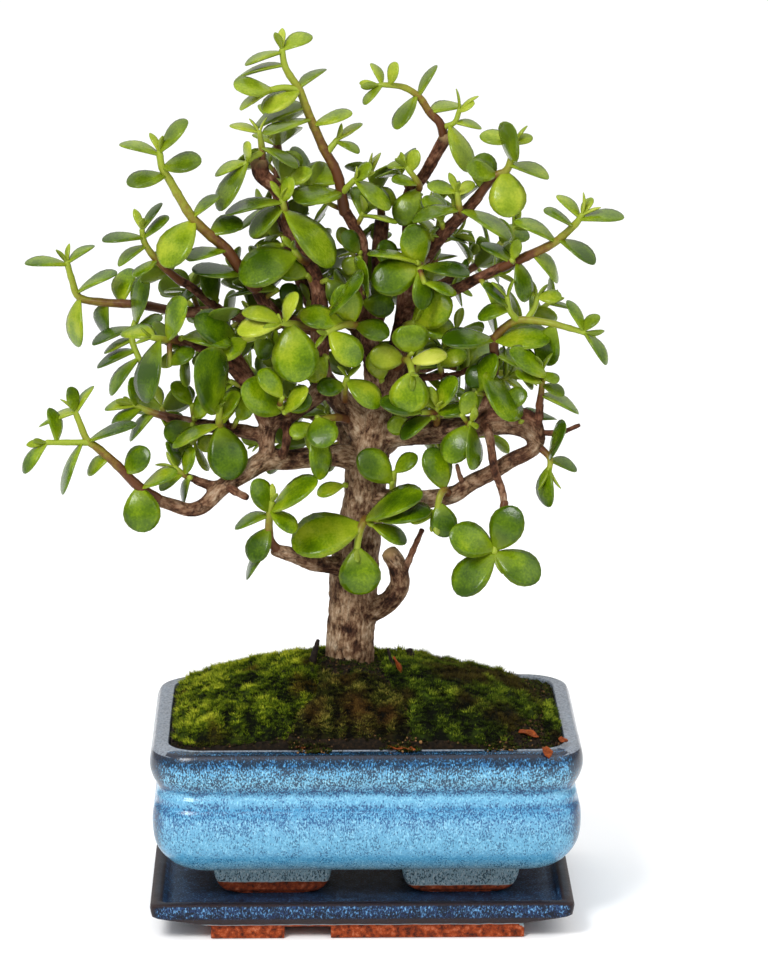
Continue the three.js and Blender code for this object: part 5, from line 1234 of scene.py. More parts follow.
leafShape = {
    "width": 0.74,  # as a part of the length
    "thickness": 2.1,
    "arch": 0.07,  # as a part of the length
    # where the rows across a blade lie, and the samples that stand for it: along, and to the side
    "rows": (0.0, 0.06, 0.14, 0.26, 0.41, 0.56, 0.71, 0.83, 0.92, 0.975),
    "samples": [
        (0.22, 0), (0.42, -0.36), (0.42, 0), (0.42, 0.36), (0.62, -0.46), (0.62, -0.22), (0.62, 0),
        (0.62, 0.22), (0.62, 0.46), (0.82, -0.4), (0.82, -0.13), (0.82, 0.13), (0.82, 0.4), (0.98, -0.1),
        (0.98, 0.1),
    ],
    # room kept to wood, to other shoots' stems, to one's own stem, to sisters and to other leaves
    "room": {"wood": 1.7, "stems": 1.6, "ownStem": 0.9, "sisters": 2.3, "others": 3.3},
    "bends": (0, -3, 3, -6, 6, -9, 9, -12, 12, -15, 15, -18, 18, -22, 22),  # depths tried for a tip
    "backRadii": (1.8, 1.1),
    "backSizes": (19, 11),
    "seed": 1171,
}
alongBlade, besideBlade = np.array(leafShape["samples"]).T


# A leaf is where its base is, three directions, its length and its width.
def leafOf(base, along, normal, length, width):
    leaf = {"base": base, "along": along, "across": unit(np.cross(normal, along)), "normal": normal}
    return {**leaf, "length": length, "width": width}


# A leaf from base to tip, turned about its length until it looks as wide as given.
def seenLeaf(base, tip, seenWidth):
    length = np.linalg.norm(tip - base)
    along = (tip - base) / length
    width = max(seenWidth, leafShape["width"] * length)
    facing = unit(toEye - along * np.dot(toEye, along))
    side = np.cross(along, facing)
    turn = math.acos(min(1, seenWidth / width))
    up = 1 if side[2] >= 0 else -1
    return leafOf(base, along, facing * math.cos(turn) + side * up * math.sin(turn), length, width)


# A leaf that leans from its stem's direction by an angle, on the side given by compass.
def ruleLeaf(base, direction, compass, lean, length, slim=1.0):
    level = np.cross([0, 0, 1], direction)
    level = unit(level) if np.linalg.norm(level) >= 0.2 else unit(np.array([1, level[1], level[2]]))
    other = unit(np.cross(direction, level))
    outward = level * math.cos(compass) + other * math.sin(compass)
    along = unit(direction * math.cos(lean) + outward * math.sin(lean))
    normal = unit(direction - along * np.dot(direction, along))
    return leafOf(base, along, normal, length, length * leafShape["width"] * slim)


# Spots across a leaf: along and beside its middle line, raised by the arch, 4 t (1 - t).
def leafSamples(leaf):
    t, side = alongBlade[:, None], besideBlade[:, None]
    arch = leafShape["arch"] * leaf["length"] * 4 * t * (1 - t)
    spots = leaf["base"] + leaf["along"] * t * leaf["length"] + leaf["across"] * side * leaf["width"]
    return spots + leaf["normal"] * arch


# Distance from each point to each tapered span of stem, less the span's radius there.
def spanGaps(points, spans):
    start, step = spans[:, 0:3], spans[:, 3:6] - spans[:, 0:3]
    offset = points[:, None] - start[None]
    part = np.clip(np.einsum("ijk,jk->ij", offset, step) / np.sum(step**2, axis=1), 0, 1)
    away = np.linalg.norm(offset - step[None] * part[..., None], axis=2)
    return away - (spans[:, 6] + (spans[:, 7] - spans[:, 6]) * part)


# A path as rows of tapered spans: both ends, then both radii.
def spansOf(points, radii):
    return np.hstack([points[:-1], points[1:], radii[:-1, None], radii[1:, None]])


# Everything that has its place so far: the wood, the stems with the shoots that own them, and the
# leaves. A shoot is its bars, which are paths with their radii, and its blades.
woodSpans = np.vstack([spansOf(*limbLine(limb)) for limb in limbs])
placed = {
    "spans": np.zeros((0, 8)), "spanOwner": np.zeros(0, int), "samples": np.zeros((0, len(alongBlade), 3)),
    "base": np.zeros((0, 3)), "length": np.zeros(0), "owner": np.zeros(0, int),
}
shoots = []


def setPlaced(**rows):
    for key, row in rows.items():
        placed[key] = np.concatenate([placed[key], row])


# A new shoot, whose stems take their room at once.
def startShoot(bars):
    shoots.append({"bars": bars, "blades": []})
    for points, radii in bars:
        setPlaced(spans=spansOf(points, radii), spanOwner=np.full(len(points) - 1, len(shoots) - 1))
    return len(shoots) - 1


# The least room between a leaf and all that it may not touch, less the share that it keeps.
def clearance(leaf, number, share):
    samples, room = leafSamples(leaf), leafShape["room"]
    own = placed["spanOwner"] == number
    least = min(
        np.min(spanGaps(samples[alongBlade > 0.3], woodSpans)) - room["wood"] * share,
        np.min(spanGaps(samples, placed["spans"][~own])) - room["stems"] * share,
        np.min(spanGaps(samples[alongBlade > 0.5], placed["spans"][own])) - room["ownStem"] * share,
    )
    near = np.linalg.norm(placed["base"] - leaf["base"], axis=1) <= placed["length"] + leaf["length"] + 6
    mine = placed["owner"] == number
    rooms = ((mine, alongBlade >= 0.4, room["sisters"]), (~mine, alongBlade > 0, room["others"]))
    for whose, rows, gap in rooms:
        chosen = placed["samples"][near & whose][:, rows]
        if chosen.size:
            gaps = np.linalg.norm(chosen.reshape(-1, 1, 3) - samples[rows][None], axis=2)
            least = min(least, np.min(gaps) - gap * share)
    return least


# Keeps the first leaf of a list that is clear.
def settle(candidates, number, share=1.0, youth=0):
    for leaf in candidates:
        if clearance(leaf, number, share) > 0:
            shoots[number]["blades"].append({**leaf, "youth": youth})
            own = {"base": [leaf["base"]], "length": [leaf["length"]], "owner": [number]}
            setPlaced(samples=[leafSamples(leaf)], **own)
            return True
    return False


# The nearest spot of a shoot's stems to a point seen from the front.
def nearestOnStems(stems, across, up):
    spots = []
    for line in stems:
        for a, b in zip(np.array(line[:-1], float), np.array(line[1:], float)):
            step = b[:2] - a[:2]
            size = np.dot(step, step)
            part = np.clip(np.dot([across - a[0], up - a[1]], step) / size, 0, 1) if size else 1
            spots.append(a + (b - a) * part)
    return min(spots, key=lambda spot: math.hypot(spot[0] - across, spot[1] - up))


# Leaves that could be seen from base to tip, their tips at several depths.
def seenLeaves(base, tip, width):
    tips = [(*tip[:2], tip[2] + bend) for bend in leafShape["bends"]]
    return [seenLeaf(place(base), place(each), width) for each in tips]


# A repeatable stream of numbers from 0 to 1, by 32-bit mixing.
def chanceStream(seed):
    state = seed
    mask = 0xFFFFFFFF
    while True:
        state = (state + 0x6D2B79F5) & mask
        mixed = ((state ^ state >> 15) * (1 | state)) & mask
        mixed = ((mixed + ((mixed ^ mixed >> 7) * (61 | mixed) & mask)) & mask) ^ mixed
        yield ((mixed ^ mixed >> 14) & mask) / 4294967296


# Leaves in pairs up the shoot, each pair across the last, shorter and steeper towards the tip.
def leavesByRule(number, count, twist, chance):
    first, last = leafShape["backSizes"]
    points = shoots[number]["bars"][0][0]
    for k in range(count):
        part = k / (count - 1)
        t = 0.3 + 0.68 * part
        base = curveAt(points, t)
        direction = unit(curveAt(points, t + 1e-4) - curveAt(points, t - 1e-4))
        for half in (0, 1):
            compass = twist + math.pi / 2 * k + math.pi * half + (next(chance) - 0.5) * 0.4
            lean = 1.25 - 0.45 * part + (next(chance) - 0.5) * 0.3
            length = first + (last - first) * part + (next(chance) - 0.5) * 3
            turns = [(0, 0), (0.35, 0), (-0.35, 0), (0, -0.3), (0.6, -0.2), (-0.6, -0.2)]
            candidates = [
                ruleLeaf(base, direction, compass + turned, lean + leaned, length * scale)
                for scale in (1, 0.8, 0.62) for turned, leaned in turns
            ]
            settle(candidates, number)


shootNames = [*shootTable, *backTable]
for (foot, tip), stems, leaves in shootTable.values():
    ends = [(foot, tip), *[(tip + 0.2, tip)] * (len(stems) - 1)]
    startShoot([(place(line), np.linspace(*pair, len(line))) for line, pair in zip(stems, ends)])
for pairs, line in backTable.values():
    startShoot([(place(line), np.linspace(*leafShape["backRadii"], len(line)))])
for number, (radii, stems, leaves) in enumerate(shootTable.values()):
    for baseAcross, baseUp, tipAcross, tipUp, width, behind, *youth in leaves:
        base = nearestOnStems(stems, baseAcross, baseUp)
        settle(seenLeaves(base, (tipAcross, tipUp, base[2] + behind), width), number, youth=sum(youth))
chance = chanceStream(leafShape["seed"])
for number, name in enumerate(shootNames):
    leavesByRule(number, backTable.get(name, (0,))[0], next(chance) * math.pi, chance)
print("leaves placed:", len(placed["length"]))


# A sprig has no node of its own: a thin stalk from a limb, and leaves that keep less room.
def startSprig(points, radius):
    return startShoot([(points, np.full(len(points), radius))])


def sprigsSeen():
    for across, up, depth, baseAcross, baseUp, tipAcross, tipUp, width in sprigTable:
        base = (baseAcross, baseUp, depth - 4)
        number = startSprig(place([(across, up, depth), base]), 1.1)
        candidates = seenLeaves(base, (tipAcross, tipUp, base[2] - 1), width)
        if not settle(candidates, number, 0.5):
            settle(candidates, number, 0.2)


infill = {
    "lowest": 196,  # limbs below this height bear none
    "step": 8.5,  # between sprigs along a limb
    "forward": 0.45,  # those that lean further towards the eye are left out
    "stalk": (4, 9),
    "stalkRadius": 1.05,
    "leaf": (11, 18),
    "share": 0.45,  # of the room that leaves keep elsewhere
    "tipLeaf": (7, 10),
    "tipShare": 0.15,
    "seed": 409,
}


# More sprigs fill the crown: along every limb at even steps, each the golden angle further round
# than the last, with a pair of leaves and a smaller pair across it.
def sprigsByRule():
    random = np.random.default_rng(infill["seed"])
    for limb in limbs:
        if limb.get("dead") or limb.get("bare") or limb["line"][-1][1] < infill["lowest"]:
            continue
        points, radii = limbLine(limb)
        part = evenParts(points, infill["step"] * limb.get("sparse", 1))[0]
        twist = random.uniform(0, 2 * np.pi)
        for k, t in enumerate(part[1:-1] if limb.get("cut") else part[1:]):
            base = curveAt(points, t)
            direction = unit(curveAt(points, min(1, t + 0.01)) - curveAt(points, t - 0.01))
            compass = twist + 2.4 * k + random.normal(0, 0.3)
            level = unit(np.cross(direction, [0.1, 0.2, 1]))
            outward = level * math.cos(compass) + np.cross(direction, level) * math.sin(compass)
            heading = unit(outward + direction * 0.5 + [0, 0, 0.3])
            if base[2] < infill["lowest"] - 12 or t < 0.12 or np.dot(heading, toEye) > infill["forward"]:
                continue
            thick = np.interp(t * (len(points) - 1), np.arange(len(points)), radii)
            end = base + heading * (thick + random.uniform(*infill["stalk"]))
            number = startSprig(np.array([base, (base + end) / 2 + [0, 0, -0.3], end]), infill["stalkRadius"])
            for pair, (lean, size) in enumerate(((1.15, 1), (0.65, 0.62))):
                for half in (0, 1):
                    turned = compass + math.pi / 2 * pair + math.pi * half + random.normal(0, 0.2)
                    long = random.uniform(*infill["leaf"]) * size
                    foot, slim = end - heading * (1 - pair) * 1.5, 1 - 0.25 * pair
                    candidates = [
                        ruleLeaf(foot, heading, turned + more, lean, long * scale, slim)
                        for scale in (1, 0.75) for more in (0, 0.5, -0.5)
                    ]
                    settle(candidates, number, infill["share"], youth=0.3 * pair * random.uniform(0, 1))


# The tip of each shoot ends in a pair of young leaves.
def tipPairs():
    random = np.random.default_rng(infill["seed"] + 1)
    for number in range(len(shootNames)):
        for points, _ in shoots[number]["bars"]:
            direction = unit(points[-1] - points[-2])
            compass = random.uniform(0, np.pi)
            for half in (0, 1):
                length = random.uniform(*infill["tipLeaf"])
                foot, side = points[-1] - direction * 0.4, compass + math.pi * half
                candidates = [
                    ruleLeaf(foot, direction, side + more, 0.5, length, 0.5) for more in (0, 0.7, -0.7)
                ]
                settle(candidates, number, infill["tipShare"], youth=0.1)


sprigsSeen()
sprigsByRule()
tipPairs()
print("leaves in all:", len(placed["length"]))


# The blades of a shoot: rows across each leaf, whose half width is a power of a sine of the power
# 1.35 of the part of its length, a lower power and so a rounder end for a broad leaf, and a
# six-cornered section, flat above and full below.
def blades(leaves, random):
    base, along, across, normal, length, width = (
        np.array([leaf[key] for leaf in leaves])[:, None, None]
        for key in ("base", "along", "across", "normal", "length", "width")
    )
    t = np.array(leafShape["rows"])[None, :, None]
    cup = random.uniform(-0.03, 0.05, length.shape)
    curl = random.uniform(-0.05, 0.02, length.shape)
    thick = np.minimum(leafShape["thickness"], 0.7 + length * 0.09)
    stalk = np.maximum(0.07, 0.8 / width)
    half = np.maximum(0.5 * np.sin(np.pi * t**1.35) ** (0.77 - 0.32 * width / length), stalk * (1 - t))
    angle = np.array([0, 0.28, 0.72, 1, 1.3, 1.7]) * np.pi
    side, lift = np.cos(angle), np.sin(angle)
    body = np.sin(np.pi * np.minimum(0.12 + t * 0.88, 1)) ** 0.5
    rise = np.where(lift > 0, 0.36, 0.62) * lift * thick * np.maximum(body, 0.35)
    arch = leafShape["arch"] * length * 4 * t * (1 - t) + curl * length * t**3
    rise = rise + arch + cup * width * np.abs(side) ** 2 * np.sin(np.pi * t)
    run = t * length + 0 * side
    reach = half * width * side
    rings = base + along * run[..., None] + across * reach[..., None] + normal * rise[..., None]
    tip = (base + along * length[..., None] + normal * (curl * length)[..., None])[:, 0]
    count, rows, around = rings.shape[:3]
    points = np.concatenate([rings.reshape(count, -1, 3), base[:, 0], tip], axis=1)
    each = np.arange(count)[:, None, None] * points.shape[1]
    faces = [(one[None] + each).reshape(-1, one.shape[1]) for one in loftFaces(rows, around)]
    values = {}
    for key, grid in (("runs", t), ("rim", np.abs(side) ** 3), ("under", lift < -0.01)):
        grid = np.broadcast_to(grid, (count, rows, around)).reshape(count, -1)
        values[key] = np.concatenate([grid, np.tile([0.0, 1], (count, 1))], axis=1).ravel()
    for key in ("tone", "youth"):
        values[key] = np.repeat([leaf[key] for leaf in leaves], points.shape[1])
    return points.reshape(-1, 3), faces, values


# The stems of a shoot: round bars with a slight joint every few millimetres.
def stemBars(shoot):
    parts, ripe = [], []
    for k, (points, radii) in enumerate(shoot["bars"]):
        path, sizes, part, length = evenPath(points, radii, 1.5)
        joint = np.exp(-(((part * length + 2) % 7.5 - 3.75) ** 2) / 0.9)
        parts.append(loft(roundBar(path, sizes * (1 + 0.1 * joint), 8, 0.8)))
        along = np.pad(part, 2, "edge") if k == 0 else np.ones(len(path) + 4)
        ripe.append(np.concatenate([np.repeat(1 - along, 8), [1 - along[0], 1 - along[-1]]]))
    return *together(parts), np.concatenate(ripe)


# One piece of one shoot or of many sprigs: first all their stems, then all their blades.
def buildLeafy(name, numbers):
    random = np.random.default_rng(100 + numbers[0])
    leaves = [leaf for number in numbers for leaf in shoots[number]["blades"]]
    for leaf in leaves:
        # leaves are also made lighter and yellower the higher they sit, up to a quarter of the way to the
        # young colours at the crown's top
        height = smoothStep(leaf["base"][2], 250, 330)
        leaf["youth"] = min(1, leaf["youth"] + 0.35 * smoothStep(-leaf["length"], -13, -7) + 0.25 * height)
        leaf["tone"] = random.uniform(-1, 1)
    bars = [stemBars(shoots[number]) for number in numbers]
    stems = together([bar[:2] for bar in bars])
    *bladeShapes, bladeValues = blades(leaves, random)
    points, faces = together([stems, bladeShapes])
    values = {key: np.concatenate([np.zeros(len(stems[0])), row]) for key, row in bladeValues.items()}
    values["ripe"] = np.concatenate([*(bar[2] for bar in bars), np.zeros(len(bladeShapes[0]))])
    slots = np.concatenate([np.arange(len(rows)) < len(stemRows) for rows, stemRows in zip(faces, stems[1])])
    return makePiece(name, points, faces, values, slots)


# What lies on the soil and stands in it

deadTwig = {
    "line": [(-21, -9, 84), (-21, -9, 99), (-20, -9, 104), (-19, -9, 108)],
    "radii": (1.3, 1.5, 1.2, 0.8),
}
dryLeaf = {"base": (60, -43), "tip": (68, -45), "above": 0.9, "width": 5.5}
litter = {
    # dried leaves: where they begin and end, and how wide
    "leaves": [
        ((70, -55, 76.5), (71, -61.5, 73.8), 4.5), ((76, -50, 77.4), (79, -46, 76.6), 4),
        ((8, -53, 76.2), (14, -56, 76.2), 3), ((13, -54, 76.2), (19, -57, 75.9), 3),
        ((15, -15, 94), (11, -16, 103), 4.5), ((-28, -53, 76.5), (-24, -54, 76.3), 2.5),
    ],
    # dead twigs: their lines and radii
    "twigs": [
        ([(9, -12, 105), (10, -12.5, 101), (12, -13, 97)], 0.6),
        ([(18, 10, 98.5), (19, 10, 95), (19, 10, 91)], 1.5),
    ],
}


# The dead twig: a round bar that swells and thins along its way.
def buildDeadTwig():
    path, sizes, part, length = evenPath(deadTwig["line"], deadTwig["radii"], 0.8)
    return makePiece("dry_twig", *loft(roundBar(path, sizes * (1 + 0.12 * np.sin(part * 37)), 9)))


# A dried blade whose sides curl up round its middle: its half width is a power of a sine of the
# part of its length.
def curledLeaf(base, tip, width):
    base, tip = np.array(base, float), np.array(tip, float)
    along = unit(tip - base)
    across = unit(np.cross([0.2, -0.1, 1], along))
    normal = np.cross(along, across)
    t = np.linspace(0.02, 0.98, 13)[:, None]
    angle = 2 * np.pi * np.arange(16) / 16
    reach = width / 2 * np.sin(np.pi * t**0.8) ** 0.7 * np.cos(angle)
    ripple = 0.3 * np.sin(t * 9 + np.cos(angle) * 2)
    rise = 0.35 * np.sin(angle) + 0.2 * width * np.cos(angle) ** 2 * np.sin(np.pi * t) + ripple
    run = t * np.linalg.norm(tip - base) + 0 * reach
    return loft(base + run[..., None] * along + reach[..., None] * across + rise[..., None] * normal)


def buildDryLeaf():
    ends = [(*spot, soilHeight(*spot) + dryLeaf["above"]) for spot in (dryLeaf["base"], dryLeaf["tip"])]
    return makePiece("fallen_leaf", *curledLeaf(*ends, dryLeaf["width"]))


def buildLitterLeaves():
    return makePiece("leaf_litter", *together([curledLeaf(*leaf) for leaf in litter["leaves"]]))


# The twigs that lie about: round bars, uneven with height.
def buildLitterTwigs():
    bars = []
    for line, radius in litter["twigs"]:
        path = curveAt(line, np.linspace(0, 1, 12))
        bars.append(loft(roundBar(path, radius * (1 + 0.15 * np.sin(path[:, 2] * 3)), 8)))
    return makePiece("twig_litter", *together(bars))


# Finishes: the sizes of the patterns are in millimetres, and a bump is its strength and its height


# How a surface takes the light: its colour, its gloss and its bump.
def coat(add, shader, colour, look, relief=None):
    feed(shader, {"Base Color": colour, "Roughness": look["roughness"]})
    feed(shader, {"Specular IOR Level": look["specular"]})
    if relief:
        strength, depth = look["bump"]
        bump = add("Bump", {"Height": relief, "Strength": strength, "Distance": depth * millimetre})
        feed(shader, {"Normal": bump})


# Reduction-fired stoneware glaze, poured thick: light blue that breaks into dark and pale flecks.
# It runs thin and dark over edges, and its bands paint light and shade over the groove below the
# rim, the light band partly glaze pooled there; where it was wiped off, the red clay shows. The real
# flecks are 0.3 mm and are drawn at twice that.
def glazed(name, look):
    material, add, shader, at = newMaterial(name)
    bands, drift = look["bands"], look["drift"]
    low, high = bands[0][0], bands[-1][0]
    stretched = add("Mapping", {"Vector": at, "Scale": (1, 1, 0.55)})
    cloud, fleck, milk, patch, grit = (
        add("TexNoise", {"Vector": where, "Scale": 1 / size, "Detail": detail, "Roughness": rough})
        for where, size, detail, rough in (
            (at, 8, 4, 0.6), (stretched, 0.55, 2, 0.6), (stretched, 0.8, 3, 0.6), (at, 5, 3, 0.5),
            (at, 2.2, 4, 0.7),
        )
    )
    bend, corner, inside, bare = (
        add("Attribute", outlet="Fac", attribute_name=key) for key in ("bend", "corner", "inside", "bare")
    )
    height = add("SeparateXYZ", (at,), outlet=2)
    level = add("Math", (cloud, drift, height), operation="MULTIPLY_ADD")
    level = add("MapRange", (level, low + drift / 2, high + drift / 2))
    base, ink, pale = (
        add("ValToRGB", (level,), [((row[0] - low) / (high - low), row[column]) for row in bands])
        for column in (1, 2, 3)
    )
    # where the dark flecks crowd: in some bands and patches, on edges and at corners
    limit = add("FloatCurve", {1: level})
    curve = limit.node.mapping.curves[0].points
    for row in bands[1:-1]:
        curve.new((row[0] - low) / (high - low), row[4])
    curve[0].location, curve[-1].location = (0, bands[0][4]), (1, bands[-1][4])
    limit.node.mapping.update()
    for source, share in ((patch, 0.35), (bend, look["edging"]), (corner, 0.13)):
        limit = add("Math", (source, share, limit), operation="MULTIPLY_ADD")
    inky = add("Math", (limit, fleck), operation="SUBTRACT")
    # a few large blots: the cells whose chance value is high, out to a distance from their middle
    cells = add("TexVoronoi", {"Vector": at, "Scale": 1 / look["blots"]}, outlet="Color")
    blot = add("SeparateColor", (cells,))
    for operation, number in (("POWER", 6), ("MULTIPLY", 0.17), ("SUBTRACT", cells.node.outputs["Distance"])):
        blot = add("Math", (blot, number), operation=operation)
    turned = add("Math", (corner, 0.75, bend), operation="MULTIPLY_ADD")
    thin, within, wiped = (
        add("Math", (source, share, other), operation="MULTIPLY_ADD")
        for source, share, other in ((milk, 1.2, turned), (milk, 0.9, inside), (patch, 0.6, bare))
    )
    clay = add("ValToRGB", (grit,), look["clay"])
    # each layer covers the last: what it follows, where it begins and is full, how much of it shows
    # and its colour. The fifth is the inside colour: on the pot a light grey painted reflection on the
    # inner lip and the rim tops at the sides and back, on the saucer the dark well. The last two are the
    # pale line where the glaze ends, and the clay.
    colour = base
    for follows, start, full, most, paint in (
        (milk, 0.5, 0.66, look["milky"], pale), (inky, -0.03, 0.06, 0.9, ink),
        (blot, 0, 0.04, 0.9, look["blotInk"]), (thin, 0.95, 1.35, look["breaking"], look["thin"]),
        (within, 1.15, 1.5, look["insideAndSheenShare"], look["insideAndSheenTone"]),
        (wiped, 0.52, 0.66, 0.85, look["seam"]), (wiped, 0.74, 0.8, 1, clay),
    ):
        share = add("MapRange", (follows, start, full, 0, most))
        colour = add("Mix", {0: share, 6: colour, 7: paint}, outlet=2, data_type="RGBA")
    gloss = add("MapRange", (patch, 0, 1, *look["gloss"]))
    gloss = add("Mix", {0: share, 2: gloss, 3: look["clayRoughness"]}, data_type="FLOAT")
    relief = add("Math", (milk, grit), operation="ADD")
    feed(shader, {"IOR": 1.52})
    coat(add, shader, colour, {**look, "roughness": gloss}, relief)
    return material


glaze = {
    "clay": [(0.34, "#34140a"), (0.46, "#702b10"), (0.56, "#8f3a14"), (0.7, "#b26a4a")],
    "clayRoughness": 0.85,
    "bump": (0.25, 0.3),
}
# Bands up the glaze: height, colour, colour of the dark flecks, colour of the pale flecks and how
# much the dark flecks crowd.
potGlaze = {
    **glaze,
    "drift": 4,
    "bands": [
        (12, "#a2bcc8", "#2c4250", "#e4eae8", 0.28),
        (24, "#7fa8ba", "#24424f", "#b4d2dc", 0.27),
        (31, "#4a8fb5", "#1c4a70", "#74b4d2", 0.24),
        (38, "#5b9aba", "#265878", "#80bcd6", 0.27),
        (48, "#5c97b8", "#1c4878", "#8cc4dc", 0.31),
        # the bands at 52 and 59 mm paint shade on either side of the groove, and the band at 56.5 mm paints
        # light on its upward face, partly glaze pooled there
        (52, "#3f84ac", "#153a66", "#6cacd0", 0.32),
        (56.5, "#66a2c0", "#22507e", "#8cc8e0", 0.25),
        (59, "#387a9f", "#102f58", "#6aaacc", 0.35),
        (63, "#639fbc", "#0a1a38", "#9cd6ec", 0.345),
        (67.5, "#569ac0", "#0a1832", "#8ecce8", 0.345),
        (71, "#235c8c", "#070f1a", "#62aede", 0.38),
        (76, "#183450", "#050a10", "#4a86b2", 0.41),
    ],
    "milky": 0.85, "edging": 0.05, "gloss": (0.12, 0.3), "specular": 0.4, "blots": 13, "blotInk": "#141c30",
    # the inside tone here is a painted reflection: light grey on the inner lip and on the rim tops at the
    # sides and back
    "thin": "#1d1c28", "breaking": 0.65, "seam": "#aab6b6", "insideAndSheenTone": "#858d97", "insideAndSheenShare": 0.8,
}
saucerGlaze = {
    **glaze,
    "drift": 1,
    "bands": [
        (8, "#12203e", "#060913", "#3f6c98", 0.33),
        (11.5, "#16294a", "#06080f", "#5e94c4", 0.33),
        (14, "#1a3660", "#06080f", "#76aede", 0.34),
        (15.2, "#151d2a", "#0a080c", "#4a6274", 0.37),
    ],
    "milky": 0.95, "edging": 0.1, "gloss": (0.3, 0.48), "specular": 0.22, "blots": 9, "blotInk": "#0a0e18",
    "thin": "#241615", "breaking": 0.9, "seam": "#8fa0a4", "insideAndSheenTone": "#0a1322", "insideAndSheenShare": 0.35,
}


# A finish whose colour follows one noise: how coarse it is, its layers and their roughness. A
# value of the piece's own may shift it: the attribute, with the shares of attribute and noise.
def grained(name, look):
    material, add, shader, at = newMaterial(name)
    size, detail, rough = look["grain"]
    grain = add("TexNoise", {"Vector": at, "Scale": 1 / size, "Detail": detail, "Roughness": rough})
    tone = grain
    if "follows" in look:
        own = add("Attribute", outlet="Fac", attribute_name=look["follows"])
        scaled, other = (grain, own) if look["scaled"] == "grain" else (own, grain)
        tone = add("Math", (scaled, look["share"], other), operation="MULTIPLY_ADD")
    coat(add, shader, add("ValToRGB", (tone,), look["stops"]), look, grain if "bump" in look else None)
    return material


# Bonsai soil: fired clay grit and humus, matt and nearly black when damp, with a few tan grains.
dampSoil = {
    "grain": (1.4, 5, 0.65), "follows": "chance", "scaled": "chance", "share": 0.28,
    "stops": [(0.25, "#070503"), (0.45, "#130e08"), (0.6, "#21180e"), (0.74, "#3c2a18"), (0.95, "#8a6640")],
    "roughness": 0.85, "specular": 0.12, "bump": (0.8, 0.6),
}
# Green shoot stem: smooth skin that turns from leaf green at the tip to red-brown at the foot.
shootSkin = {
    "grain": (2.2, 3, 0.5), "follows": "ripe", "scaled": "grain", "share": 0.5,
    "stops": [(0.25, "#86962c"), (0.6, "#7e8026"), (0.82, "#70581f"), (1, "#56321a")],
    "roughness": 0.42, "specular": 0.2, "bump": (0.3, 0.3),
}
# Dead wood and leaf: dry, fibrous and matt.
driedOut = {"grain": (1.2, 4, 0.5), "roughness": 0.75, "specular": 0.15, "bump": (0.5, 0.4)}
deadWood = {**driedOut, "stops": [(0.3, "#0a0705"), (0.75, "#2b211a")]}
deadLeaf = {**driedOut, "stops": [(0.3, "#54200a"), (0.75, "#964a1c")]}
# Moulded polypropylene gauze, dusty from the soil.
dustyPlastic = {
    "grain": (1.8, 3, 0.5),
    "stops": [(0.4, "#232322"), (0.75, "#5a4a3a")],
    "roughness": 0.55,
    "specular": 0.5,
}
# Paper backdrop: matt, with hardly a trace of its fibre.
mattPaper = {
    "grain": (40, 2, 0.5),
    "stops": [(0, "#f7f7f8"), (1, "#fdfdfd")],
    "roughness": 0.9,
    "specular": 0.1,
}

mossLook = {
    "patch": 7, "fine": 1.6,
    "roughness": 0.8, "specular": 0.06,
    # from the foot of the leaves to their tips, and where they have dried
    # the sunlit and shaded sets are one moss with painted light and painted shade: the left cushion takes the
    # sunlit colours, the right cushion, the patch and the strays the shaded ones
    "sunlit": (("#050801", "#2e3d06", "#6c7f14", "#b0b430"), "#4a3410"),
    "shaded": (("#050702", "#222e07", "#4b5f12", "#8e9a2a"), "#3c2c14"),
    "driedBrown": (("#060502", "#1b1d08", "#454a14", "#8c8038"), "#553a1a"),
}


# Living moss: matt soft leaves, yellow-green at their tips and near black at their foot, partly
# darker leaf bases and partly painted shade deep in the cushion; the hollows between its lumps get
# painted shade and their tops painted light, and the moss turns brown where a spot has dried.
def livingMoss(name, tones, parchedTone):
    material, add, shader, at = newMaterial(name)
    patch = add("TexNoise", {"Vector": at, "Scale": 1 / mossLook["patch"], "Detail": 4, "Roughness": 0.65})
    fine = add("TexNoise", {"Vector": at, "Scale": 1 / mossLook["fine"], "Detail": 3})
    tone, chance, lump, dried = (
        add("Attribute", outlet="Fac", attribute_name=key) for key in ("tip", "chance", "lump", "parched")
    )
    # the lump share paints shade into the hollows between lumps and light onto their tops
    for source, share in ((chance, 0.3), (lump, 0.55), (fine, 1.6)):
        tone = add("Math", (source, share, tone), operation="MULTIPLY_ADD")
    tone = add("MapRange", (tone, 0.6, 2.2))
    colour = add("ValToRGB", (tone,), list(zip((0, 0.4, 0.75, 1), tones)))
    dried = add("Math", (patch, 1.5, dried), operation="MULTIPLY_ADD")
    dried = add("MapRange", (dried, 0.85, 1.35, 0, 0.9))
    brown = add("Mix", {0: tone, 6: tones[0], 7: parchedTone}, outlet=2, data_type="RGBA")
    colour = add("Mix", {0: dried, 6: colour, 7: brown}, outlet=2, data_type="RGBA")
    coat(add, shader, colour, mossLook)
    return material


barkLook = {
    "squeeze": (1, 1, 0.38),  # the grain is long along the limb
    "fibre": 1.1, "waver": 1.8, "wavering": 2.6, "crack": 2.3, "patch": 9, "mottle": 5,
    "old": [(0.28, "#1a0f0a"), (0.4, "#442c1f"), (0.5, "#6c523c"), (0.61, "#8d745b"), (0.78, "#b09e86")],
    "young": [(0.26, "#1a0d08"), (0.4, "#3e2419"), (0.52, "#5e3b2a"), (0.66, "#7d5843"), (0.84, "#a48a75")],
    "aged": (5, 8.2),  # the girth from which bark begins to be old, and where it is
    "lowdown": (190, 225, 2.6),  # below these heights bark counts as older, by up to this much girth
    "crackTone": "#170e09", "cutWood": "#8c724f",
    "roughness": 0.78, "specular": 0.1, "bump": (0.6, 0.5),
}


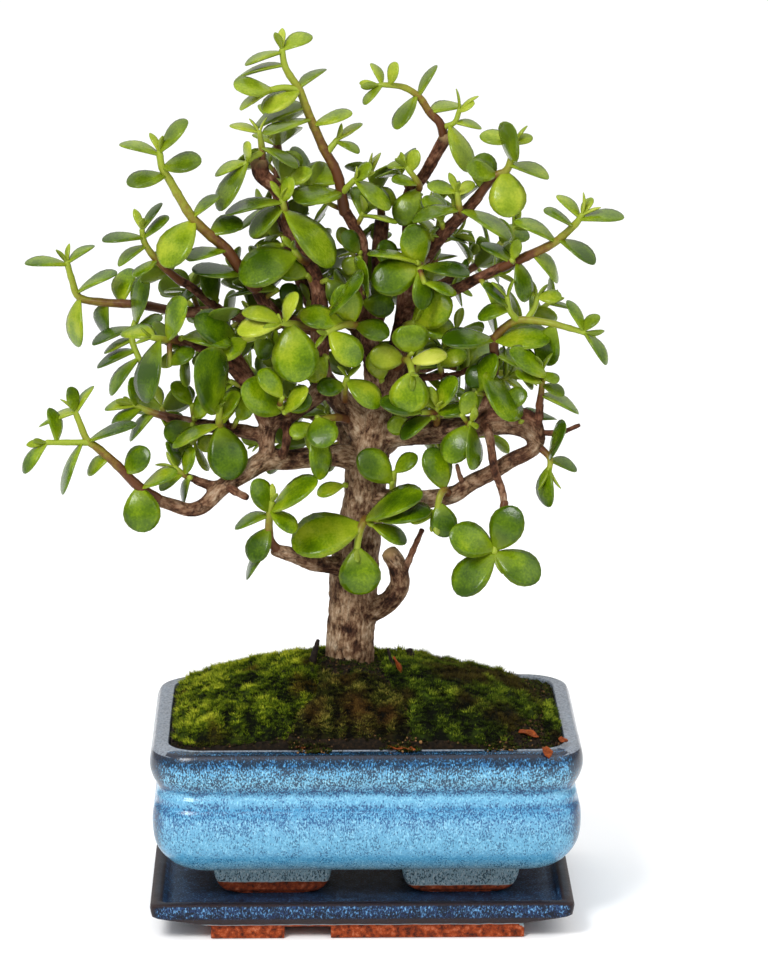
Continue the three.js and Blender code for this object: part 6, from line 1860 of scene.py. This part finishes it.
# Old jade bark: dry corky skin, grey-brown on the ridges and near black in the cracks; thinner
# limbs are red-brown and smoother, and a pruning cut shows tan wood.
def corkyBark():
    material, add, shader, at = newMaterial("jade bark, weathered cork")
    grain = add("Attribute", outlet="Vector", attribute_name="grain")
    relief, girth, cut = (
        add("Attribute", outlet="Fac", attribute_name=key) for key in ("relief", "girth", "cut")
    )
    squeezed = add("Mapping", {"Vector": grain, "Scale": barkLook["squeeze"]})
    fibre, waver, patch, mottle = (
        add("TexNoise", {"Vector": where, "Scale": 1 / barkLook[key], "Detail": detail, "Roughness": rough})
        for key, where, detail, rough in (
            ("fibre", squeezed, 5, 0.62), ("waver", squeezed, 3, 0.5),
            ("patch", at, 3, 0.5), ("mottle", at, 5, 0.7),
        )
    )
    wavering = (waver.node.outputs["Color"], [barkLook["wavering"]] * 3, squeezed)
    wavered = add("VectorMath", wavering, operation="MULTIPLY_ADD")
    splits = {"Vector": wavered, "Scale": 1 / barkLook["crack"]}
    cracks = add("TexVoronoi", splits, feature="DISTANCE_TO_EDGE")
    tone = add("Math", (fibre, 0.6), operation="MULTIPLY")
    # the relief share paints shade: the bark is darker in the grooves of its relief and lighter on its ridges
    for source, share in ((relief, 0.14), (mottle, 0.65), (patch, 0.55)):
        tone = add("Math", (source, share, tone), operation="MULTIPLY_ADD")
    tone = add("Math", (tone, 0.4), operation="SUBTRACT")
    old, young = (add("ValToRGB", (tone,), barkLook[key]) for key in ("old", "young"))
    low, high, most = barkLook["lowdown"]
    lowness = add("MapRange", (add("SeparateXYZ", (at,), outlet=2), low, high, most, 0))
    aged = add("Math", (girth, lowness), operation="ADD")
    aged = add("Math", (patch, 3, aged), operation="MULTIPLY_ADD")
    aged = add("MapRange", (aged, *barkLook["aged"]))
    deep = add("MapRange", (mottle, 0.38, 0.6, 0.8, 0.1))
    gap = add("MapRange", (cracks, 0, 0.13, deep, 0))
    colour = young
    for share, paint in ((aged, old), (gap, barkLook["crackTone"]), (cut, barkLook["cutWood"])):
        colour = add("Mix", {0: share, 6: colour, 7: paint}, outlet=2, data_type="RGBA")
    coat(add, shader, colour, barkLook, add("Math", (cracks, 1.5, fibre), operation="MULTIPLY_ADD"))
    return material


leafLook = {
    "blotch": 11, "fine": 0.9,
    "old": [(0.2, "#2c4402"), (0.4, "#476102"), (0.56, "#637c04"), (0.76, "#889618")],
    "young": [(0.2, "#7f921c"), (0.45, "#9ca82a"), (0.7, "#babe50")],
    # edge is the colour of the painted highlight along the rim
    "foot": "#87981f", "below": "#66742c", "edge": "#8c9a34",
    "roughness": 0.22, "specular": 0.27, "bump": (0.15, 0.5),
}


# Jade leaf: a thick water-filled blade under a waxy skin, so light goes a little way in and the
# surface has a soft satin shine. Yellow-green when young, deep green when old, paler below, with a
# painted highlight along the rim.
def waxyLeaf():
    material, add, shader, at = newMaterial("jade leaf, waxy skin")
    tone, youth, runs, rim, under = (
        add("Attribute", outlet="Fac", attribute_name=key)
        for key in ("tone", "youth", "runs", "rim", "under")
    )
    blotch = add("TexNoise", {"Vector": at, "Scale": 1 / leafLook["blotch"], "Detail": 3})
    fine = add("TexNoise", {"Vector": at, "Scale": 1 / leafLook["fine"], "Detail": 2})
    speckled = add("Math", (fine, 0.5), operation="SUBTRACT")
    shade = blotch
    for source, share in ((tone, 0.2), (speckled, 0.35), (runs, -0.12)):
        shade = add("Math", (source, share, shade), operation="MULTIPLY_ADD")
    colour, young = (add("ValToRGB", (shade,), leafLook[key]) for key in ("old", "young"))
    foot = add("MapRange", (runs, 0.02, 0.45, 0.5, 0))
    below = add("Math", (under, 0.5), operation="MULTIPLY")
    # the lighter rim is a painted highlight along the blade's edge
    edge = add("MapRange", (rim, 0.7, 1, 0, 0.4))
    paints = (young, *(leafLook[key] for key in ("foot", "below", "edge")))
    for share, paint in zip((youth, foot, below, edge), paints):
        colour = add("Mix", {0: share, 6: colour, 7: paint}, outlet=2, data_type="RGBA")
    feed(shader, {"IOR": 1.45, "Subsurface Weight": 0.08, "Subsurface Radius": (0.6, 1, 0.2)})
    feed(shader, {"Subsurface Scale": millimetre})
    coat(add, shader, colour, leafLook, add("Math", (blotch, 2, fine), operation="MULTIPLY_ADD"))
    return material


# Gives a piece its materials and its place on the frame.
def dress(piece, slot, nodes, *materials):
    for material in materials:
        piece.data.materials.append(material)
    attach(piece, "root")
    if nodes:
        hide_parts(*nodes)


dress(buildPot(), "glaze", ["pot"], glazed("stoneware glaze, light blue, fired", potGlaze))
dress(buildSaucer(), "glaze", ["saucer"], glazed("stoneware glaze, dark blue, fired", saucerGlaze))
print("pot and saucer made")

earth = grained("damp bonsai soil, crumbled", dampSoil)
dress(buildSoil(), "soil", ["soil"], earth)
dress(buildGrit(), "soil", [], earth)
# the left cushion gets the moss with painted sunlight; the right cushion, the patch and the strays get the
# copy with painted shade
dress(buildMoss("left"), "moss", ["moss_left"], livingMoss("moss, living, sunlit", *mossLook["sunlit"]))
shadedMoss = livingMoss("moss, living, shaded", *mossLook["shaded"])
dress(buildMoss("right"), "moss", ["moss_right"], shadedMoss)
dress(buildMoss("patch"), "moss", [], shadedMoss)
dress(buildStrays(), "moss", [], shadedMoss)
dress(buildMoss("dry"), "dry_moss", ["moss_dry"], livingMoss("moss, dried brown", *mossLook["driedBrown"]))
dryWood, dryBlade = grained("dead twig, dry wood", deadWood), grained("fallen leaf, dried", deadLeaf)
dress(buildDeadTwig(), "dry", ["dead_twig"], dryWood)
dress(buildLitterTwigs(), "dry", [], dryWood)
dress(buildDryLeaf(), "dry", ["dry_leaf"], dryBlade)
dress(buildLitterLeaves(), "dry", [], dryBlade)
gauze = grained("polypropylene gauze, moulded", dustyPlastic)
for node in ("drain_mesh_left", "drain_mesh_right"):
    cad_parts[node].data.materials.clear()
    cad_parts[node].data.materials.append(gauze)
print("soil and moss made")

dress(buildWood(), "bark", ["trunk_and_branches"], corkyBark())
print("wood made")

leafy = [waxyLeaf(), grained("jade shoot, smooth skin", shootSkin)]
for number, name in enumerate(shootNames):
    dress(buildLeafy("leafy_" + name, [number]), "leaf", ["shoot_" + name], *leafy)
sprigNumbers = [number for number in range(len(shootNames), len(shoots)) if shoots[number]["blades"]]
for part, letter in enumerate("abcd"):
    dress(buildLeafy("leafy_sprigs_" + letter, sprigNumbers[part::4]), "leaf", [], *leafy)
print("shoots made")


# The studio: a pale floor, a soft sky and two large soft lamps

studio = {
    "floor": (8000, -0.3),  # from the middle to its edge, and its height
    "sky": "#ffffff",
    "skyLow": 0.4,  # brightness at the horizon and overhead
    "skyHigh": 1.45,
    "lampAim": (0, 0, 190),
    "lamps": [
        {"name": "key", "spot": (-650, -1100, 1250), "size": 600, "power": 20},
        {"name": "fill", "spot": (1000, -700, 900), "size": 1100, "power": 4},
    ],
}

far, level = studio["floor"]
corners = np.array([(x * far, y * far, level) for x, y in ((-1, -1), (1, -1), (1, 1), (-1, 1))])
floor = makePiece("floor", corners, [np.arange(4)[None]])
floor.data.materials.append(grained("paper backdrop, matt white", mattPaper))

scene.world = bpy.data.worlds.new("studio")
scene.world.use_nodes = True
add = partial(addNode, scene.world.node_tree)
upward = add("SeparateXYZ", (add("TexCoord", outlet="Generated"),), outlet=2)
brightness = add("MapRange", (upward, 0, 1, studio["skyLow"], studio["skyHigh"]))
feed(scene.world.node_tree.nodes["Background"], (studio["sky"], brightness))
for look in studio["lamps"]:
    lamp = bpy.data.objects.new(look["name"], bpy.data.lights.new(look["name"], "AREA"))
    lamp.data.shape = "DISK"
    lamp.data.size = look["size"] * millimetre
    lamp.data.energy = look["power"]
    spot = np.array(look["spot"], float)
    lamp.matrix_world = lookingAxes(unit(spot - studio["lampAim"]), spot)
    scene.collection.objects.link(lamp)
print("studio lit")
